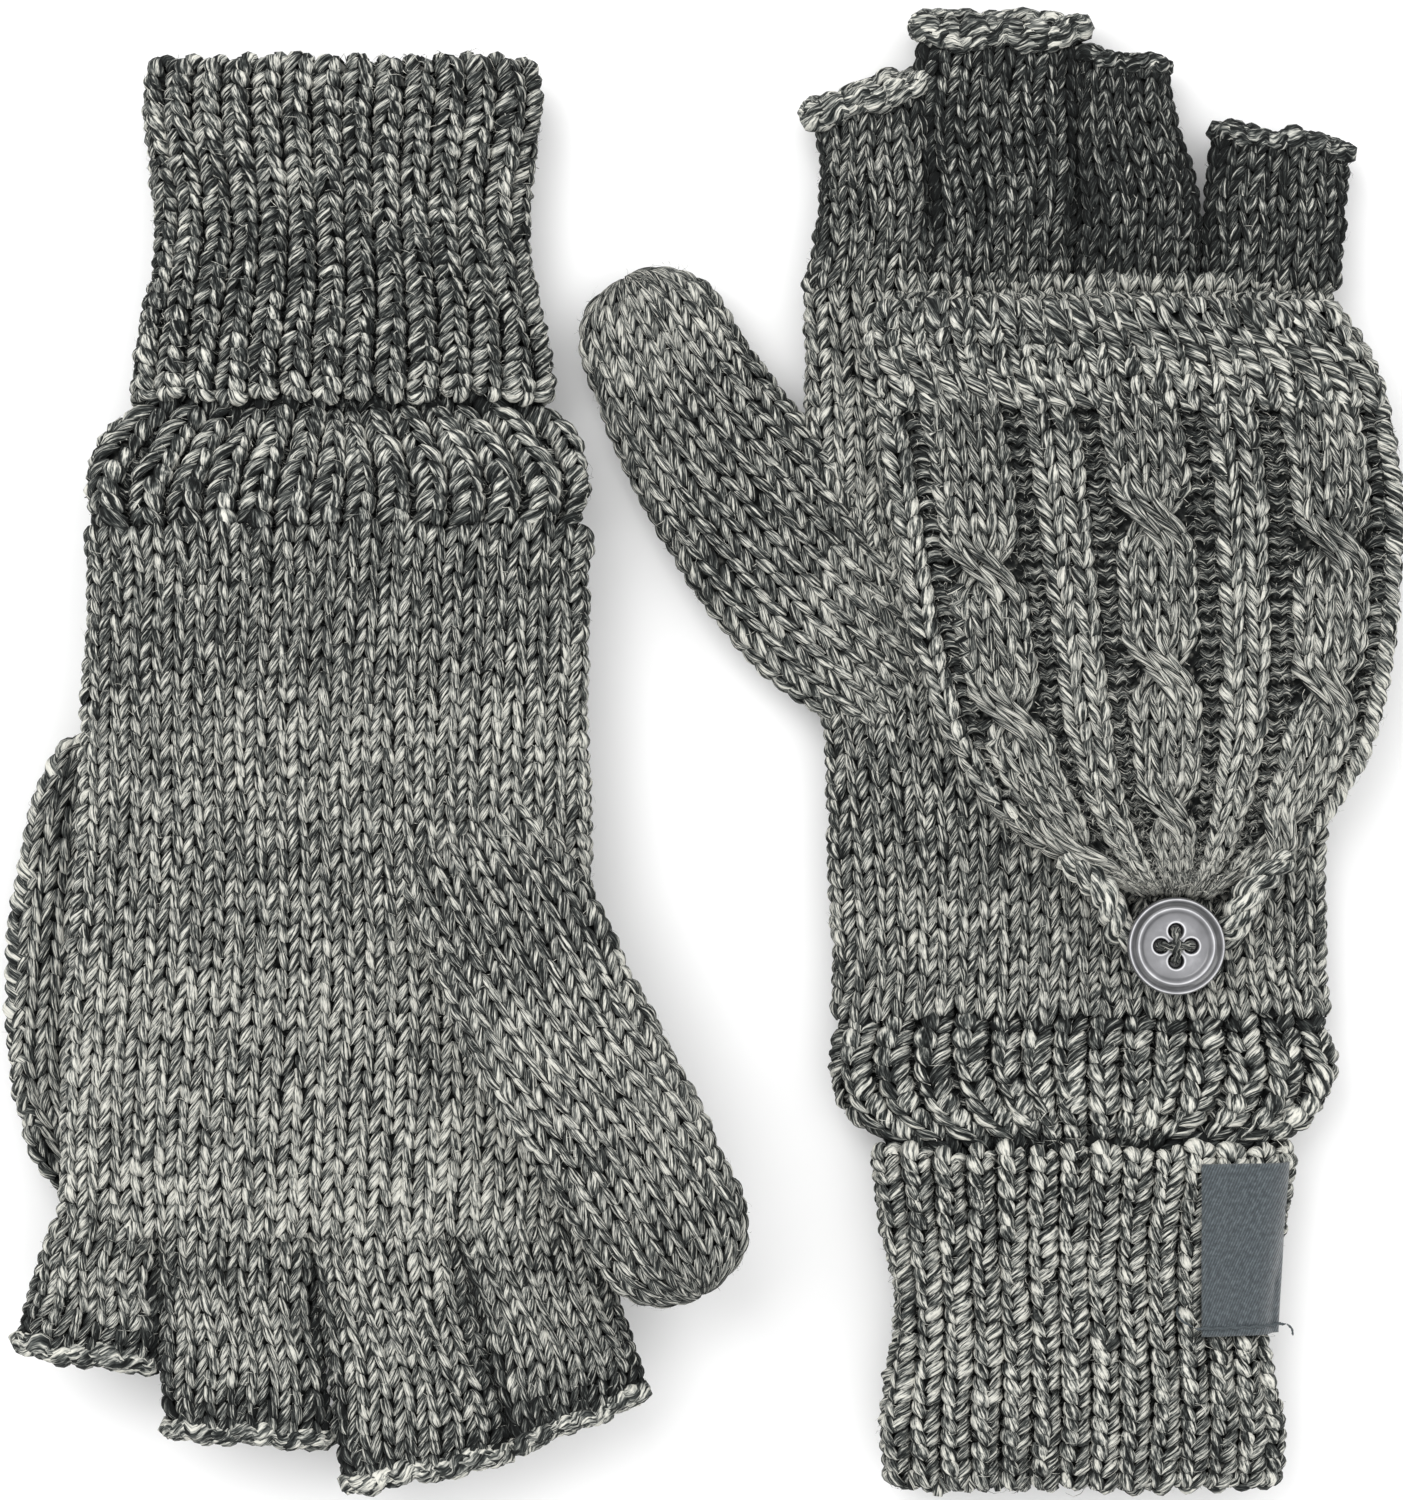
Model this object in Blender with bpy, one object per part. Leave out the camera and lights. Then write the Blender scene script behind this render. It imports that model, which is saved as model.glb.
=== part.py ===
"""A pair of convertible flip-top mittens, built as separate knitted pieces, buttons and trim.

Both mittens come from the same functions. Each is drawn in its own hand frame, in millimetres:
x runs from the thumb to the little finger, y from the wrist step to the fingertips, and z from the
palm to the back of the hand. The right mitten lies on its palm. The left one lies on its back and
points the other way, so it is the same shape turned through its centre point.
"""

import math

import bpy
import numpy as np

MM = 0.001
GAP = 0.3  # clearance between pieces that touch

# Fabric and tube sizes
FABRIC = 2.4  # one knitted layer
HAND_HALF_DEPTH = 4.8
RIB_HALF_DEPTH = 6.0  # where the wrist rib swells above the cuff
RIB_INNER_DEPTH = 2.3  # clear half depth of the rib under the cuff
CUFF_BOTTOM = -79.5
CUFF_TOP = -23.0
CUFF_FOLD = 4.0  # height of the folded bottom edge
CUFF_HALF_DEPTH = RIB_INNER_DEPTH + 2 * FABRIC + GAP
THUMB_HALF_DEPTH = 4.8
ROLL_FLARE = 1.1  # how far a finger's rolled edge stands out
ROLL_LENGTH = 4.0
HAND_POWER = 3.0  # squareness of a flattened tube's section
FLAT_CLIP = 1.05  # how much of a section's top and bottom is cut flat
TUBE_SIDES = 28
FINGER_SIDES = 16

# Flip cap
CAP_LENGTH = 96.0
CAP_HEM = 15.0
CAP_POCKET = 4.4  # clear height inside the folded pocket
CAP_FRONT = 2.6
HINGE_Z = HAND_HALF_DEPTH + GAP + FABRIC
CAP_TOP_Z = HINGE_Z + GAP + CAP_POCKET + CAP_FRONT

# Button, loop and thread
BUTTON_X = 14.9
BUTTON_CLEAR = 0.5  # from the cap's tip to the button's edge
BUTTON_RADIUS = 8.1
BUTTON_THICK = 3.0
BUTTON_Z = HAND_HALF_DEPTH + GAP + 3.6  # underside of the disc
HOLE_RADIUS = 1.15
HOLE_OFFSET = 2.5
THREAD_RADIUS = 0.7
SHANK_RADIUS = 1.7
LOOP_RADIUS = 1.1
LOOP_BEND = 4.0

# Woven label on the right cuff
LABEL_X = (19.0, 31.5)
LABEL_Y = (-54.0, -25.5)
LABEL_THICK = 0.7
LABEL_CLEAR = 0.6  # above the cuff's facets

YARN = (0.16, 0.165, 0.16)
PLASTIC = (0.33, 0.33, 0.36)
SATIN = (0.16, 0.19, 0.2)
THREAD = (0.2, 0.2, 0.2)

FINGERS = ("index", "middle", "ring", "little")

# Each side: where its wrist step lies on the floor, its hand, its fingers and its thumb.
# A finger is (base x, base half width, tip x, tip half width, tip y, half depth, edge slope).
SIDES = {
    "right": {
        "turn": 1,
        "step": (63.4, -42.75),
        "knuckle_shift": -2.0,
        "knuckles": 122.0,
        "hinge_y": 115.0,
        "cap_shift": 0.0,
        "fingers": {
            "index": (-35.6, 9.7, -35.4, 9.6, 154.5, 5.0, 0.35),
            "middle": (-13.4, 11.3, -12.2, 12.0, 165.5, 5.4, 0.0),
            "ring": (9.2, 10.1, 10.4, 8.0, 159.5, 5.6, -0.2),
            "little": (31.6, 10.9, 33.0, 11.4, 146.5, 4.9, -0.14),
        },
        "thumb": [
            (-28.0, 55.0, 0.0, 14.0),
            (-44.0, 70.0, 0.0, 16.5),
            (-56.5, 86.0, 0.0, 15.5),
            (-66.0, 101.0, 0.0, 14.0),
            (-71.5, 112.0, 0.0, 12.6),
        ],
        "thumb_tip": 12.0,
        "lift": ((-24.0, CUFF_HALF_DEPTH), (6.0, HAND_HALF_DEPTH)),
    },
    "left": {
        "turn": -1,
        "step": (-59.9, 35.15),
        "knuckle_shift": 2.0,
        "knuckles": 115.0,
        "hinge_y": 113.5,
        "cap_shift": 3.5,
        "fingers": {
            "index": (-30.9, 11.2, -39.6, 9.7, 147.0, 4.9, 0.42),
            "middle": (-7.2, 11.3, -14.6, 13.0, 155.5, 5.2, 0.18),
            "ring": (17.2, 11.9, 15.0, 12.8, 149.6, 5.0, -0.06),
            "little": (38.4, 8.1, 42.0, 11.0, 136.5, 4.9, -0.17),
        },
        "thumb": [
            (-21.0, 50.0, -1.0, 13.0),
            (-28.5, 64.0, -7.5, 14.5),
            (-36.5, 81.0, -10.4, 15.0),
            (-47.0, 99.0, -10.4, 14.0),
            (-54.5, 113.0, -10.0, 13.2),
        ],
        "thumb_tip": 13.0,
        "lift": (
            (-24.0, CUFF_HALF_DEPTH),
            (0.0, CAP_TOP_Z),
            (113.0, CAP_TOP_Z),
            (158.0, CAP_TOP_Z - 0.6),
        ),
    },
}

HAND_WIDTH = ((0.0, 41.0), (40.0, 42.0), (80.0, 43.5), (125.0, 44.5))
UNDER_CUFF = (-60.0, -50.0, -40.0, -32.0, CUFF_TOP)  # stations the rib and the cuff share
RIB_WIDTH = (
    (-75.0, 28.0),
    (-50.0, 28.4),
    (-32.0, 30.6),
    (CUFF_TOP, 32.6),
    (-18.0, 39.0),
    (-12.0, 42.0),
    (0.0, 40.5),
)
RIB_DEPTH = (
    (-75.0, RIB_INNER_DEPTH + FABRIC),
    (CUFF_TOP, RIB_INNER_DEPTH + FABRIC),
    (-18.0, RIB_HALF_DEPTH - 0.8),
    (-11.0, RIB_HALF_DEPTH),
    (0.0, HAND_HALF_DEPTH + 0.2),
)
CUFF_WIDTH = ((CUFF_BOTTOM, 33.0), (-72.0, 33.6), (-52.0, 31.4), (-35.0, 34.0), (CUFF_TOP, 36.0))
# Cap outline by distance from the hinge: (distance, centre x, half width)
CAP_OUTLINE = (
    (0.0, 3.0, 38.6),
    (10.0, 6.0, 41.6),
    (22.0, 8.6, 42.4),
    (40.0, 10.4, 41.2),
    (58.0, 11.6, 38.6),
    (72.0, 12.4, 34.2),
    (83.0, 13.2, 27.0),
    (91.0, 14.2, 18.0),
    (CAP_LENGTH, 14.9, 9.0),
)


def along(table, position, column=1, level=False):
    """A smooth value between the stations of a table; level makes it flat at each station."""
    stations = np.array([row[0] for row in table])
    values = np.array([row[column] for row in table])
    slopes = np.gradient(values, stations) * (not level)
    position = np.clip(np.asarray(position, float), stations[0], stations[-1])
    index = np.clip(np.searchsorted(stations, position) - 1, 0, len(stations) - 2)
    span = stations[index + 1] - stations[index]
    t = (position - stations[index]) / span
    start, end = values[index], values[index + 1]
    low, high = slopes[index] * span, slopes[index + 1] * span
    cubic = (2 * start + low - 2 * end + high) * t**3
    return cubic + (3 * end - 3 * start - 2 * low - high) * t**2 + low * t + start


def place(side, points):
    """Hand-frame millimetres to millimetres on the floor."""
    points = np.asarray(points, float).reshape(-1, 3)
    turn = SIDES[side]["turn"]
    step = SIDES[side]["step"]
    lift = along(SIDES[side]["lift"], points[:, 1], level=True)
    return np.column_stack(
        (
            turn * points[:, 0] + step[0],
            turn * points[:, 1] + step[1],
            turn * points[:, 2] + lift,
        )
    )


def material(name, colour, roughness, metallic=0.0):
    found = bpy.data.materials.get(name) or bpy.data.materials.new(name)
    found.use_nodes = True
    shader = found.node_tree.nodes["Principled BSDF"]
    shader.inputs["Base Color"].default_value = (*colour, 1.0)
    shader.inputs["Roughness"].default_value = roughness
    shader.inputs["Metallic"].default_value = metallic
    return found


def yarn():
    return material("knitted_yarn", YARN, 0.9)


def solid(side, name, points, faces, pivot, finish):
    """One named object from hand-frame points, with its origin on pivot."""
    world = place(side, points)
    origin = place(side, [pivot])[0]
    if SIDES[side]["turn"] < 0:
        faces = [tuple(reversed(face)) for face in faces]
    mesh = bpy.data.meshes.new(name)
    mesh.from_pydata(((world - origin) * MM).tolist(), [], faces)
    mesh.validate()
    mesh.materials.append(finish)
    mesh.shade_smooth()
    mesh.set_sharp_from_angle(angle=math.radians(40))
    made = bpy.data.objects.new(name, mesh)
    made.location = (origin * MM).tolist()
    bpy.context.collection.objects.link(made)
    return made


def skin(rows, columns, start, outward, closed=True):
    """Quads over a grid of points whose first index is start."""
    faces = []
    for i in range(rows - 1):
        for j in range(columns if closed else columns - 1):
            a = start + i * columns + j
            b = start + i * columns + (j + 1) % columns
            quad = (a, b, b + columns, a + columns)
            faces.append(quad if outward else quad[::-1])
    return faces


def rim(first, second, columns):
    """Quads that join two rings of equal size."""
    quads = []
    for j in range(columns):
        k = (j + 1) % columns
        quads.append((first + k, second + k, second + j, first + j))
    return quads


def section(half_width, half_depth, count, power=HAND_POWER):
    """A flattened tube's section, cut flat at its top and bottom."""
    angle = np.arange(count) * 2 * math.pi / count
    c, s = np.cos(angle), np.sin(angle)
    x = half_width * np.sign(c) * np.abs(c) ** (2 / power)
    z = half_depth * FLAT_CLIP * np.sign(s) * np.abs(s) ** (2 / power)
    return x, np.clip(z, -half_depth, half_depth)


def level_ring(x, y, z, half_width, half_depth, count, slope=0.0):
    """A section across the hand; slope tips it along y from side to side."""
    sx, sz = section(half_width, half_depth, count)
    return np.column_stack((x + sx, y + slope * sx, z + sz))


def tube(outer, inner):
    """A wall between two stacks of rings, joined at both ends."""
    rows, columns = len(outer), len(outer[0])
    far = rows * columns
    points = np.vstack(outer + inner)
    faces = skin(rows, columns, 0, False)
    faces += skin(len(inner), columns, far, True)
    faces += rim(0, far, columns)
    last_outer = (rows - 1) * columns
    last_inner = far + (len(inner) - 1) * columns
    faces += [quad[::-1] for quad in rim(last_outer, last_inner, columns)]
    return points, faces


def sock(outer, inner, outer_tip, inner_tip):
    """A wall that is open at its first ring and closed at its tip."""
    rows, columns = len(outer), len(outer[0])
    far = rows * columns
    points = np.vstack(outer + inner + [outer_tip, inner_tip])
    faces = skin(rows, columns, 0, False)
    faces += skin(len(inner), columns, far, True)
    faces += rim(0, far, columns)
    last_outer = (rows - 1) * columns
    last_inner = far + (len(inner) - 1) * columns
    tip = len(points) - 2
    for j in range(columns):
        k = (j + 1) % columns
        faces.append((last_outer + k, last_outer + j, tip))
        faces.append((last_inner + j, last_inner + k, tip + 1))
    return points, faces


def plug(rings):
    """A filled stack of rings, used for cutters and swept cords."""
    rows, columns = len(rings), len(rings[0])
    points = np.vstack(rings)
    last = (rows - 1) * columns
    faces = skin(rows, columns, 0, False)
    faces.append(tuple(range(columns)))
    faces.append(tuple(last + j for j in reversed(range(columns))))
    return points, faces


def slab(top, bottom):
    """A closed sheet between two grids of points of the same shape."""
    rows, columns = top.shape[:2]
    far = rows * columns
    points = np.vstack((top.reshape(-1, 3), bottom.reshape(-1, 3)))
    faces = skin(rows, columns, 0, False, closed=False)
    faces += skin(rows, columns, far, True, closed=False)
    edge = list(range(columns))
    edge += [i * columns + columns - 1 for i in range(1, rows)]
    edge += [(rows - 1) * columns + j for j in reversed(range(columns - 1))]
    edge += [i * columns for i in reversed(range(1, rows - 1))]
    for n, a in enumerate(edge):
        b = edge[(n + 1) % len(edge)]
        faces.append((b, b + far, a + far, a))
    return points, faces


def sweep(path, radius, sides):
    """Rings of a round cord along a path of points."""
    path = np.asarray(path, float)
    tangents = np.gradient(path, axis=0)
    tangents /= np.linalg.norm(tangents, axis=1)[:, None]
    side = np.cross(tangents[0], (0.31, 0.17, 0.93))
    rings = []
    for point, tangent in zip(path, tangents):
        side = side - tangent * side.dot(tangent)
        side /= np.linalg.norm(side)
        up = np.cross(tangent, side)
        angle = -np.arange(sides)[:, None] * 2 * math.pi / sides
        rings.append(point + radius * (np.cos(angle) * side + np.sin(angle) * up))
    return rings


def cutter(made):
    made.hide_render = True
    made.display_type = "WIRE"
    return made


def cut(target, tool, operation="DIFFERENCE"):
    step = target.modifiers.new(tool.name, "BOOLEAN")
    step.operation = operation
    step.object = tool
    step.solver = "EXACT"


def hand_rings(side, stations, grow, count=TUBE_SIDES):
    """Sections of the hand, grown or shrunk by a margin."""
    info = SIDES[side]
    rings = []
    for y in stations:
        x = info["knuckle_shift"] * y / info["knuckles"]
        half = along(HAND_WIDTH, y) + grow
        rings.append(level_ring(x, y, 0.0, half, HAND_HALF_DEPTH + grow, count))
    return rings


def thumb_rings(side, shrink, extend=0.0, count=FINGER_SIDES):
    """Sections of the thumb from its root, and its tip point."""
    info = SIDES[side]
    path = np.array(info["thumb"])
    line = path[:, :3].copy()
    line[0, :2] += (line[0, :2] - line[1, :2]) * extend
    tangents = np.gradient(line, axis=0)
    tangents /= np.linalg.norm(tangents, axis=1)[:, None]
    stations = [(line[i], tangents[i], path[i, 3], THUMB_HALF_DEPTH) for i in range(len(line))]
    reach = info["thumb_tip"]
    for share in (0.45, 0.75, 0.93):
        scale = math.sqrt(1 - share**2)
        depth = THUMB_HALF_DEPTH * (0.35 + 0.65 * scale)
        centre = line[-1] + tangents[-1] * reach * share
        stations.append((centre, tangents[-1], path[-1, 3] * scale, depth))
    rings = []
    for centre, tangent, half, depth in stations:
        across = np.array((tangent[1], -tangent[0], 0.0))
        across /= np.linalg.norm(across)
        sx, sz = section(max(half - shrink, 1.0), max(depth - shrink, 0.8), count)
        rings.append(centre + sx[:, None] * across + sz[:, None] * np.array((0.0, 0.0, 1.0)))
    tip = line[-1] + tangents[-1] * (reach - shrink)
    return rings, tip


def thumb_pivot(side):
    root = SIDES[side]["thumb"][1]
    return (root[0], root[1], root[2])


def hand_and_thumb(side):
    """The hand, open at the wrist, fingers and thumb, and the thumb sewn over its hole."""
    knuckles = SIDES[side]["knuckles"]
    stations = (GAP, 6.0, 30.0, 60.0, 90.0, knuckles - GAP)
    points, faces = tube(hand_rings(side, stations, 0.0), hand_rings(side, stations, -FABRIC))
    hand = solid(side, side + "_hand_shell", points, faces, (0.0, 0.0, 0.0), yarn())

    outer, outer_tip = thumb_rings(side, 0.0)
    inner, inner_tip = thumb_rings(side, FABRIC)
    points, faces = sock(outer, inner, outer_tip, inner_tip)
    thumb = solid(side, side + "_thumb", points, faces, thumb_pivot(side), yarn())

    points, faces = plug(hand_rings(side, stations, GAP))
    outside = solid(side, side + "_hand_outside", points, faces, (0.0, 0.0, 0.0), yarn())
    cut(thumb, cutter(outside))

    hollow, hollow_tip = thumb_rings(side, FABRIC, 0.35)
    points, faces = plug(hollow[:4])
    hole = solid(side, side + "_thumb_hollow", points, faces, (0.0, 0.0, 0.0), yarn())
    cut(hand, cutter(hole))


def finger(side, name):
    """An open half finger with a rolled edge."""
    base_x, base_half, tip_x, tip_half, tip_y, depth, slope = SIDES[side]["fingers"][name]
    start = SIDES[side]["knuckles"] + GAP
    turn = SIDES[side]["turn"]
    plan = [(0.0, 0.0), (0.5, 0.0)]
    roll = ROLL_LENGTH / (tip_y - start)
    plan += [(1 - roll, 0.0), (1 - roll * 0.5, ROLL_FLARE), (1.0, ROLL_FLARE * 0.6)]
    outer, inner = [], []
    for share, flare in plan:
        x = base_x + (tip_x - base_x) * share
        half = base_half + (tip_half - base_half) * share
        swell = (depth - HAND_HALF_DEPTH) * min(1.0, share * 2)
        half_depth = HAND_HALF_DEPTH + swell
        z = turn * (swell + flare * 0.3)
        y = start + (tip_y - start) * share
        tip = slope * share**2
        outer.append(level_ring(x, y, z, half + flare * 0.5, half_depth + flare * 0.3, FINGER_SIDES, tip))
        inner.append(level_ring(x, y, z, half - FABRIC, half_depth - FABRIC, FINGER_SIDES, tip))
    points, faces = tube(outer, inner)
    solid(side, f"{side}_{name}_finger", points, faces, (base_x, start, 0.0), yarn())


def wrist_rib(side):
    """The ribbed wrist, which runs on inside the turned cuff."""
    stations = (CUFF_BOTTOM + CUFF_FOLD + GAP, *UNDER_CUFF, -18.0, -12.0, -6.0, -GAP)
    outer, inner = [], []
    for y in stations:
        half = along(RIB_WIDTH, y)
        depth = RIB_INNER_DEPTH + FABRIC if y <= CUFF_TOP else along(RIB_DEPTH, y)
        outer.append(level_ring(0.0, y, 0.0, half, depth, TUBE_SIDES))
        inner.append(level_ring(0.0, y, 0.0, half - FABRIC, depth - FABRIC, TUBE_SIDES))
    points, faces = tube(outer, inner)
    solid(side, side + "_wrist_rib", points, faces, (0.0, 0.0, 0.0), yarn())


def cuff_outside(y):
    """Half width and half depth of the turned cuff."""
    return along(CUFF_WIDTH, y), CUFF_HALF_DEPTH


def turned_cuff(side):
    """The cuff's outer layer with the fold at its bottom."""
    fold = CUFF_BOTTOM + CUFF_FOLD
    outer, inner = [], []
    for y in (CUFF_BOTTOM, CUFF_BOTTOM + 1.5, -70.0, *UNDER_CUFF):
        half, depth = cuff_outside(y)
        tuck = 1.4 if y == CUFF_BOTTOM else 0.0
        outer.append(level_ring(0.0, y, 0.0, half - tuck, depth - tuck, TUBE_SIDES))
    fold_half = along(RIB_WIDTH, fold)
    lining = [(CUFF_BOTTOM, -FABRIC), (fold - 0.1, -FABRIC), (fold, GAP)]
    lining += [(y, GAP) for y in UNDER_CUFF]
    for y, grow in lining:
        half = (fold_half if y <= fold else along(RIB_WIDTH, y)) + grow
        depth = RIB_INNER_DEPTH + FABRIC + grow
        inner.append(level_ring(0.0, y, 0.0, half, depth, TUBE_SIDES))
    points, faces = tube(outer, inner)
    solid(side, side + "_turned_cuff", points, faces, (0.0, CUFF_TOP, 0.0), yarn())


def cap_grid(side, distances, height, columns=13):
    """Points over the cap's outline; height takes the share across and the distance."""
    info = SIDES[side]
    across = np.linspace(-1.0, 1.0, columns)
    rows = []
    for s in distances:
        centre = along(CAP_OUTLINE, s, 1) + info["cap_shift"] * min(1.0, s / 20.0) * (s < 80.0)
        half = along(CAP_OUTLINE, s, 2)
        y = np.full(columns, info["hinge_y"] - s)
        rows.append(np.column_stack((centre + half * across, y, height(across, s))))
    return np.array(rows)


def pocket_height(across, distance):
    """Clear height inside the pocket, flat in the middle and shut at the sides and tip."""
    side_fall = np.clip(1.25 * (1 - np.abs(across) ** 4), 0.0, 1.0)
    tip_fall = np.clip((CAP_LENGTH + 6.0 - distance) / 26.0, 0.0, 1.0)
    return CAP_POCKET * side_fall * tip_fall


def front_sheet(side, name, distances):
    """A stretch of the cap's outer sheet."""
    floor = HINGE_Z + GAP
    top = cap_grid(side, distances, lambda u, s: floor + pocket_height(u, s) + CAP_FRONT)
    bottom = cap_grid(side, distances, lambda u, s: floor + pocket_height(u, s))
    points, faces = slab(top, bottom)
    pivot = (0.0, SIDES[side]["hinge_y"], HINGE_Z)
    solid(side, name, points, faces, pivot, yarn())


def cap(side):
    """Back panel, cable panel, hem and the strip that hinges them on the hand."""
    hinge_y = SIDES[side]["hinge_y"]
    pivot = (0.0, hinge_y, HINGE_Z)
    distances = np.concatenate((np.linspace(0.0, 72.0, 6), np.linspace(80.0, CAP_LENGTH, 4)))
    top = cap_grid(side, distances, lambda u, s: np.full(len(u), HINGE_Z))
    bottom = cap_grid(side, distances, lambda u, s: np.full(len(u), HINGE_Z - FABRIC))
    points, faces = slab(top, bottom)
    solid(side, side + "_cap_back_panel", points, faces, pivot, yarn())

    front_sheet(side, side + "_cap_hem", np.linspace(0.0, CAP_HEM - GAP, 3))
    panel = np.concatenate((np.linspace(CAP_HEM, 74.0, 6), np.linspace(81.0, CAP_LENGTH, 4)))
    front_sheet(side, side + "_cap_cable_panel", panel)

    width = along(CAP_OUTLINE, 0.0, 2) - 4.0
    centre = along(CAP_OUTLINE, 0.0, 1)
    across = np.linspace(-width, width, 9)
    rows = []
    for y in (hinge_y + 3.4, hinge_y + GAP):
        height = np.full(9, HINGE_Z if y < hinge_y + 1.0 else HINGE_Z - 1.4)
        rows.append(np.column_stack((centre + across, np.full(9, y), height)))
    top = np.array(rows)
    bottom = top.copy()
    bottom[:, :, 2] = HAND_HALF_DEPTH + GAP
    points, faces = slab(top, bottom)
    solid(side, side + "_cap_hinge_strip", points, faces, pivot, yarn())


def button_y(side):
    return SIDES[side]["hinge_y"] - CAP_LENGTH - BUTTON_CLEAR - BUTTON_RADIUS


def loop_path(side):
    """From one side of the cap's tip round the button's shank and back."""
    z = HAND_HALF_DEPTH + GAP + LOOP_RADIUS
    tip = SIDES[side]["hinge_y"] - CAP_LENGTH - GAP
    points = [(BUTTON_X - LOOP_BEND, tip, z)]
    for step in range(9):
        angle = math.pi + math.pi * step / 8
        x = BUTTON_X + LOOP_BEND * math.cos(angle)
        points.append((x, button_y(side) + LOOP_BEND * math.sin(angle), z))
    points.append((BUTTON_X + LOOP_BEND, tip, z))
    return points


def button_loop(side):
    points, faces = plug(sweep(loop_path(side), LOOP_RADIUS, 8))
    pivot = (BUTTON_X, SIDES[side]["hinge_y"], HINGE_Z)
    solid(side, side + "_button_loop", points, faces, pivot, yarn())


def turned_rings(side, profile, count):
    """Rings about the button's axis from (radius, height) pairs."""
    angle = -np.arange(count) * 2 * math.pi / count
    rings = []
    for radius, z in profile:
        x = BUTTON_X + radius * np.cos(angle)
        y = button_y(side) + radius * np.sin(angle)
        rings.append(np.column_stack((x, y, np.full(count, z))))
    return rings


def hole_centres(side):
    for quarter in range(4):
        angle = quarter * math.pi / 2
        x = BUTTON_X + HOLE_OFFSET * math.cos(angle)
        yield x, button_y(side) + HOLE_OFFSET * math.sin(angle)


def button(side):
    """A dished disc with a raised rim and four holes."""
    z, top = BUTTON_Z, BUTTON_Z + BUTTON_THICK
    r = BUTTON_RADIUS
    profile = [(r * 0.45, z), (r * 0.86, z + 0.4), (r, z + 1.5), (r * 0.95, top - 0.35)]
    profile += [(r * 0.84, top), (r * 0.7, top - 0.5), (r * 0.6, top - 1.3), (1.0, top - 1.5)]
    points, faces = plug(turned_rings(side, profile, 26))
    finish = material("button_plastic", PLASTIC, 0.25)
    centre = (BUTTON_X, button_y(side), z)
    disc = solid(side, side + "_button", points, faces, centre, finish)
    for number, (x, y) in enumerate(hole_centres(side)):
        rings = [np.column_stack((
            x + HOLE_RADIUS * np.cos(-np.arange(8) * math.pi / 4),
            y + HOLE_RADIUS * np.sin(-np.arange(8) * math.pi / 4),
            np.full(8, height),
        )) for height in (z - 1.0, top + 1.0)]
        points, faces = plug(rings)
        cut(disc, cutter(solid(side, f"{side}_button_hole_{number}", points, faces, centre, finish)))


def button_thread(side):
    """Two stitches that cross over the button, and the wound shank under it."""
    under = BUTTON_Z - GAP - 0.5
    over = BUTTON_Z + BUTTON_THICK - 1.4 + GAP + THREAD_RADIUS
    bottom = HAND_HALF_DEPTH + GAP
    finish = material("button_thread", THREAD, 0.9)
    centre = (BUTTON_X, button_y(side), BUTTON_Z)
    shank = [(SHANK_RADIUS, bottom), (SHANK_RADIUS * 0.8, (bottom + under) / 2)]
    shank += [(HOLE_OFFSET + THREAD_RADIUS, under), (HOLE_OFFSET + THREAD_RADIUS, under + 0.5)]
    points, faces = plug(turned_rings(side, shank, 16))
    wound = solid(side, side + "_button_thread", points, faces, centre, finish)
    reach = HOLE_OFFSET
    arch = [(-reach, under + 0.2), (-reach, over - 0.7), (-reach * 0.72, over), (0.0, over + 0.2)]
    arch += [(reach * 0.72, over), (reach, over - 0.7), (reach, under + 0.2)]
    for number, turn in enumerate((0.0, math.pi / 2)):
        path = []
        for reach_x, z in arch:
            x = BUTTON_X + reach_x * math.cos(turn)
            path.append((x, button_y(side) + reach_x * math.sin(turn), z + 0.25 * number))
        points, faces = plug(sweep(path, THREAD_RADIUS, 8))
        name = f"{side}_thread_stitch_{number}"
        cut(wound, cutter(solid(side, name, points, faces, centre, finish)), "UNION")


def cuff_surface(x, y, clear):
    """Height of the turned cuff's upper face at x, plus a clearance."""
    half, depth = cuff_outside(y)
    share = np.clip(np.abs(x) / half, 0.0, 0.995)
    height = depth * FLAT_CLIP * (1 - share**HAND_POWER) ** (1 / HAND_POWER)
    return np.minimum(height, depth) + clear


def cuff_label(side):
    """A plain satin label folded over the cuff's free edge, and its row of stitches."""
    x = np.linspace(LABEL_X[0], LABEL_X[1], 9)
    pivot = (0.0, CUFF_TOP, 0.0)
    rows = []
    for y in np.linspace(LABEL_Y[1], LABEL_Y[0], 6):
        rows.append(np.column_stack((x, np.full(9, y), cuff_surface(x, y, LABEL_CLEAR))))
    bottom = np.array(rows)
    top = bottom + np.array((0.0, 0.0, LABEL_THICK))
    points, faces = slab(top, bottom)
    satin = material("label_satin", SATIN, 0.45)
    solid(side, side + "_cuff_label", points, faces, pivot, satin)

    span = np.linspace(LABEL_X[0] + 0.6, LABEL_X[1] - 0.6, 17)
    y = LABEL_Y[0] + 1.6
    wave = 0.25 * np.cos(np.arange(17) * math.pi)
    height = cuff_surface(span, y, LABEL_CLEAR + LABEL_THICK + GAP + 0.5) + wave * 0.4
    points, faces = plug(sweep(np.column_stack((span, y + wave, height)), 0.3, 6))
    solid(side, side + "_label_stitching", points, faces, pivot, material("label_thread", THREAD, 0.9))


def mitten(side):
    hand_and_thumb(side)
    for name in FINGERS:
        finger(side, name)
    wrist_rib(side)
    turned_cuff(side)
    cap(side)
    button_loop(side)
    button(side)
    button_thread(side)


def main():
    for old in list(bpy.data.objects):
        bpy.data.objects.remove(old, do_unlink=True)
    for side in SIDES:
        mitten(side)
    cuff_label("right")


main()
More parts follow.
